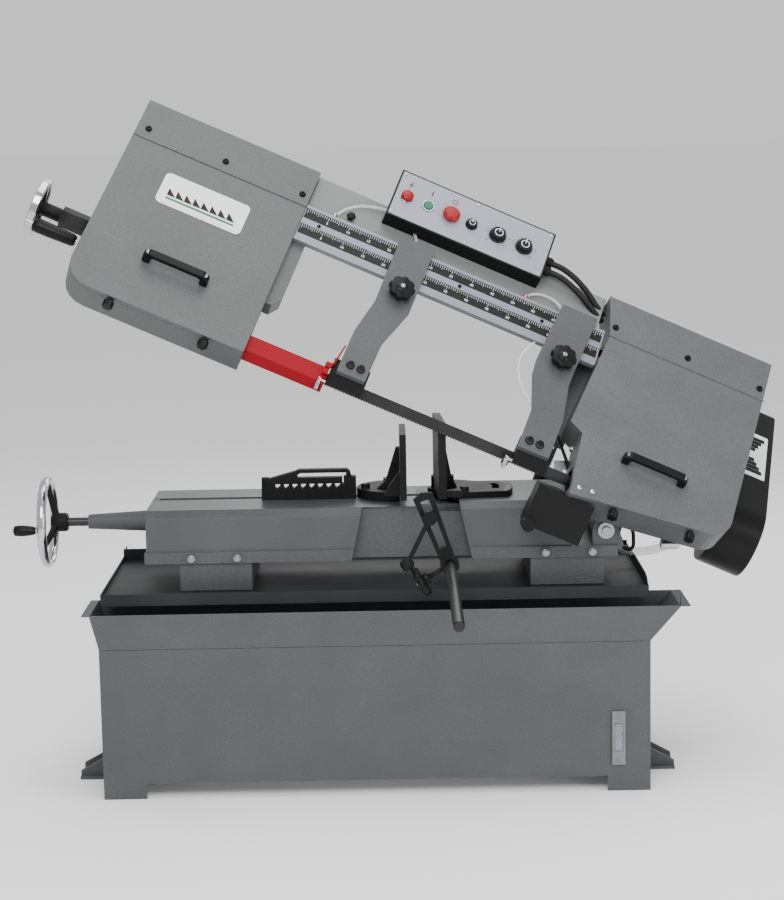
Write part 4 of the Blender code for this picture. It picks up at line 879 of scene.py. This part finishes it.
for k, z in enumerate((0.475, 0.500)):
    hose("conduit_%d" % (k + 1),
         [(-0.322, -0.042, z), (-0.290, -0.043, z - 0.003), (-0.235, -0.036, z - 0.022),
          (-0.190, -0.020, z - 0.040 - 0.006 * k), (-0.166, -0.006, z - 0.044 - 0.008 * k)],
         0.0068, "rubber", "head")
    glands = [turned([(0.0070, -0.334), (0.0118, -0.334), (0.0118, -0.325), (0.0100, -0.320),
                      (0.0070, -0.320)],
                     (0, -0.042, z), "x", 12, ring=True)]
    piece("gland_%d" % (k + 1), glands, "plastic", "head")

# ---------------------------------------------------------------- belt guard, motor and gearbox
WORM, MOTOR = Vector((0, 0.145, 0.135)), Vector((0, 0.240, 0.400))
along = (MOTOR - WORM).normalized()
GUARD = HEAD @ axes_frame(Vector((1, 0, 0)), Vector((0, along.z, -along.y)), WORM)
GUARD_R, GUARD_X = 0.085, (0.2370, 0.338)
plate("belt_label", rounded(GUARD_X[0] + 0.014, GUARD_X[1] - 0.014, 0.120, 0.285, 0.004), [],
      -GUARD_R - 0.0005, 0.0005, "white", "head", GUARD)


def step_icon(z, flip):
    """Side view of a stepped pulley as stacked bars that narrow toward the middle."""
    mid = (GUARD_X[0] + GUARD_X[1]) / 2
    return [box(mid - w / 2, mid + w / 2, -GUARD_R - 0.0009, -GUARD_R - 0.0005,
                z + flip * 0.014 * k, z + flip * 0.014 * k + 0.013)
            for k, w in enumerate((0.056, 0.042, 0.028, 0.014))]


piece("belt_label_marks", step_icon(0.258, -1) + step_icon(0.134, 1), "ink", "head", GUARD)
piece("guard_lip", [prism([(GUARD_X[0] - 0.0004, -GUARD_R - 0.0012), (GUARD_X[0] + 0.010, -GUARD_R - 0.0012),
                           (GUARD_X[0] + 0.010, -GUARD_R - 0.0002), (GUARD_X[0] - 0.0004, -GUARD_R - 0.0002)],
                          0.010, 0.385, "z")], "paint", "head", GUARD)
motor_axis = (0, 0.240, 0.400)
fins = []
for k in range(30):
    a = 2 * pi * k / 30
    rot = Matrix.Translation(motor_axis) @ Matrix.Rotation(a, 4, "X") @ Matrix.Translation((0, 0, 0.0715))
    fins.append(spun(box(-0.030, 0.185, -0.0011, 0.0011, 0.0, 0.0055), rot))
piece("motor_fins", fins, "paint", "head")
cowl = [(0.0660, -0.074), (0.0750, -0.070), (0.0765, -0.060), (0.0765, -0.036), (0.0722, -0.036),
        (0.0722, -0.060), (0.0660, -0.068)]
piece("motor_cowl", [turned(cowl, motor_axis, "x", 56, ring=True)]
      + [torus((-0.0725, motor_axis[1], motor_axis[2]), r, 0.0014, "x", 48, 8)
         for r in (0.018, 0.030, 0.042, 0.054)]
      + [taper((-0.0725, motor_axis[1], motor_axis[2]),
               (-0.0725, motor_axis[1] + 0.066 * cos(a), motor_axis[2] + 0.066 * sin(a)), 0.0016, 0.0016, 8)
         for a in (k * pi / 3 for k in range(6))], "plastic", "head")
cover_bolts = [socket_screw((x, 0.1925, z), 0.0060, 0.0050, "y", 1) for x in (-0.018, 0.118)
               for z in (0.130, 0.248)]
piece("gearbox_cover", [box(-0.026, 0.126, 0.1918, 0.1940, 0.122, 0.258)], "paint", "head",
      round_edges=0.0008)
piece("gearbox_bolts", [spun(b, Matrix.Translation((0, 0.0014, 0))) for b in cover_bolts], "steel", "head")

# ---------------------------------------------------------------- bed: table skin, bolts, slot, hoses
piece("table_skin", [box(-0.4985, 0.0985, 0.1170, 0.2492, TABLE_Z + 0.00005, TABLE_Z + 0.0003),
                     box(-0.4985, 0.0985, 0.2748, 0.3838, TABLE_Z + 0.00005, TABLE_Z + 0.0003)],
      "table", "base", BASE)
bolts = []
for x in (-0.400, -0.299, 0.379, 0.482):
    bolts.append(washer((x, 0.0770, 0.519), 0.0085, 0.0066, 0.0010))
    bolts.append(socket_screw((x, 0.0769, 0.519), 0.0062, 0.0030))
piece("flange_bolts", bolts, "steel", "base", BASE)
piece("jaw_faces", [box(0.0756, 0.0762, 0.064, 0.231, 0.6500, 0.7850)], "steel", "movable_jaw", BASE)
hose("drain_hose", [(0.546, 0.300, 0.492), (0.585, 0.300, 0.476), (0.630, 0.300, 0.474),
                    (0.672, 0.300, 0.485), (0.712, 0.300, 0.496)], 0.0105, "hose", "base", BASE)
piece("hose_clamp", [turned([(0.0108, 0.660), (0.0135, 0.660), (0.0135, 0.700), (0.0108, 0.700)],
                            (0, 0.300, 0.490), "x", 32, ring=True)], "chrome", "base", BASE)

hose("switch_cable", [(0.546, 0.150, 0.545), (0.556, 0.146, 0.566), (0.572, 0.146, 0.560),
                      (0.580, 0.150, 0.532), (0.574, 0.156, 0.508), (0.560, 0.160, 0.512),
                      (0.552, 0.158, 0.534)], 0.0042, "rubber", "base", BASE)

# sight gauge and quadrant scale
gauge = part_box("sight_gauge")
gx0, gx1, gz0, gz1 = gauge[0].x + 0.006, gauge[1].x - 0.006, gauge[0].z + 0.032, gauge[1].z - 0.028
gy = gauge[0].y
world = Matrix.Identity(4)
piece("gauge_fluid", [box(gx0, gx1, gy + 0.0035, gy + 0.0045, gz0, gz0 + (gz1 - gz0) * 0.55)],
      "fluid", "base", world)
piece("gauge_lens", [box(gx0, gx1, gy + 0.0018, gy + 0.0024, gz0, gz1)], "lens", "base", world)
quad = []
for k in range(10):
    a = radians(-24 + 5 * k)
    for r0, r1 in ((0.144, 0.1545 if k % 3 == 0 else 0.1515),):
        w = 0.0005
        pts = [(0.158 + p * cos(a) - q * sin(a), 0.225 + p * sin(a) + q * cos(a))
               for p, q in ((r0, -w), (r1, -w), (r1, w), (r0, w))]
        quad.append(prism(pts, 0.6451, 0.6455, "z"))
piece("quadrant_scale", quad, "white", "base", BASE)


# ---------------------------------------------------------------- floor, light and camera
def softbox(name, place, target, size, power, tint=(1, 1, 1)):
    light = bpy.data.lights.new(name, "AREA")
    light.shape = "RECTANGLE"
    light.size, light.size_y = size
    light.energy = power
    light.color = tint
    ob = bpy.data.objects.new(name, light)
    bpy.context.scene.collection.objects.link(ob)
    ob.location = place
    ob.rotation_mode = "QUATERNION"
    ob.rotation_quaternion = (Vector(target) - Vector(place)).to_track_quat("-Z", "Y")


def studio():
    mat, tree, bsdf = new_material("pale_floor")
    coord = tree.nodes.new("ShaderNodeTexCoord")
    tree.links.new(mix_colour(tree, noise(tree, coord, 2.0), (0.94, 0.94, 0.94), (0.97, 0.97, 0.97)),
                   bsdf.inputs["Base Color"])
    bsdf.inputs["Roughness"].default_value = 0.9
    mesh = bpy.data.meshes.new("floor")
    r = FLOOR_HALF
    mesh.from_pydata([(-r, -r, 0), (r, -r, 0), (r, r, 0), (-r, r, 0)], [], [(0, 1, 2, 3)])
    mesh.materials.append(mat)
    floor = bpy.data.objects.new("floor", mesh)
    floor.location.z = -0.0005
    bpy.context.scene.collection.objects.link(floor)
    world_light = bpy.data.worlds.new("studio")
    world_light.use_nodes = True
    back = world_light.node_tree.nodes["Background"]
    back.inputs["Color"].default_value = (1, 1, 1, 1)
    back.inputs["Strength"].default_value = ROOM_LIGHT
    bpy.context.scene.world = world_light
    softbox("key", (-0.3, -3.4, 3.2), (0.1, 0, 0.7), (2.6, 2.0), 145)
    softbox("top", (0.2, 0.2, 3.8), (0, 0, 0.7), (3.4, 2.4), 90)
    softbox("fill", (3.2, -2.6, 1.4), (0.2, 0, 0.5), (1.8, 2.2), 55)
    softbox("back", (0.6, 3.6, 2.8), (0, 0, 0.8), (2.6, 1.8), 40)


def camera():
    """Long lens, a little above the head, looking down the depth of the machine."""
    yaw, pitch, roll = CAMERA_YAW, CAMERA_PITCH, CAMERA_ROLL
    fwd = Vector((sin(yaw) * cos(pitch), cos(yaw) * cos(pitch), sin(pitch)))
    right = Vector((cos(yaw), -sin(yaw), 0))
    up = right.cross(fwd)
    r2 = cos(roll) * right + sin(roll) * up
    u2 = -sin(roll) * right + cos(roll) * up
    data = bpy.data.cameras.new("camera")
    data.lens = CAMERA_LENS
    data.sensor_width = 36
    ob = bpy.data.objects.new("camera", data)
    bpy.context.scene.collection.objects.link(ob)
    m = Matrix((r2, u2, -fwd)).transposed().to_4x4()
    m.translation = CAMERA_AT
    ob.matrix_world = m
    bpy.context.scene.camera = ob


studio()
camera()
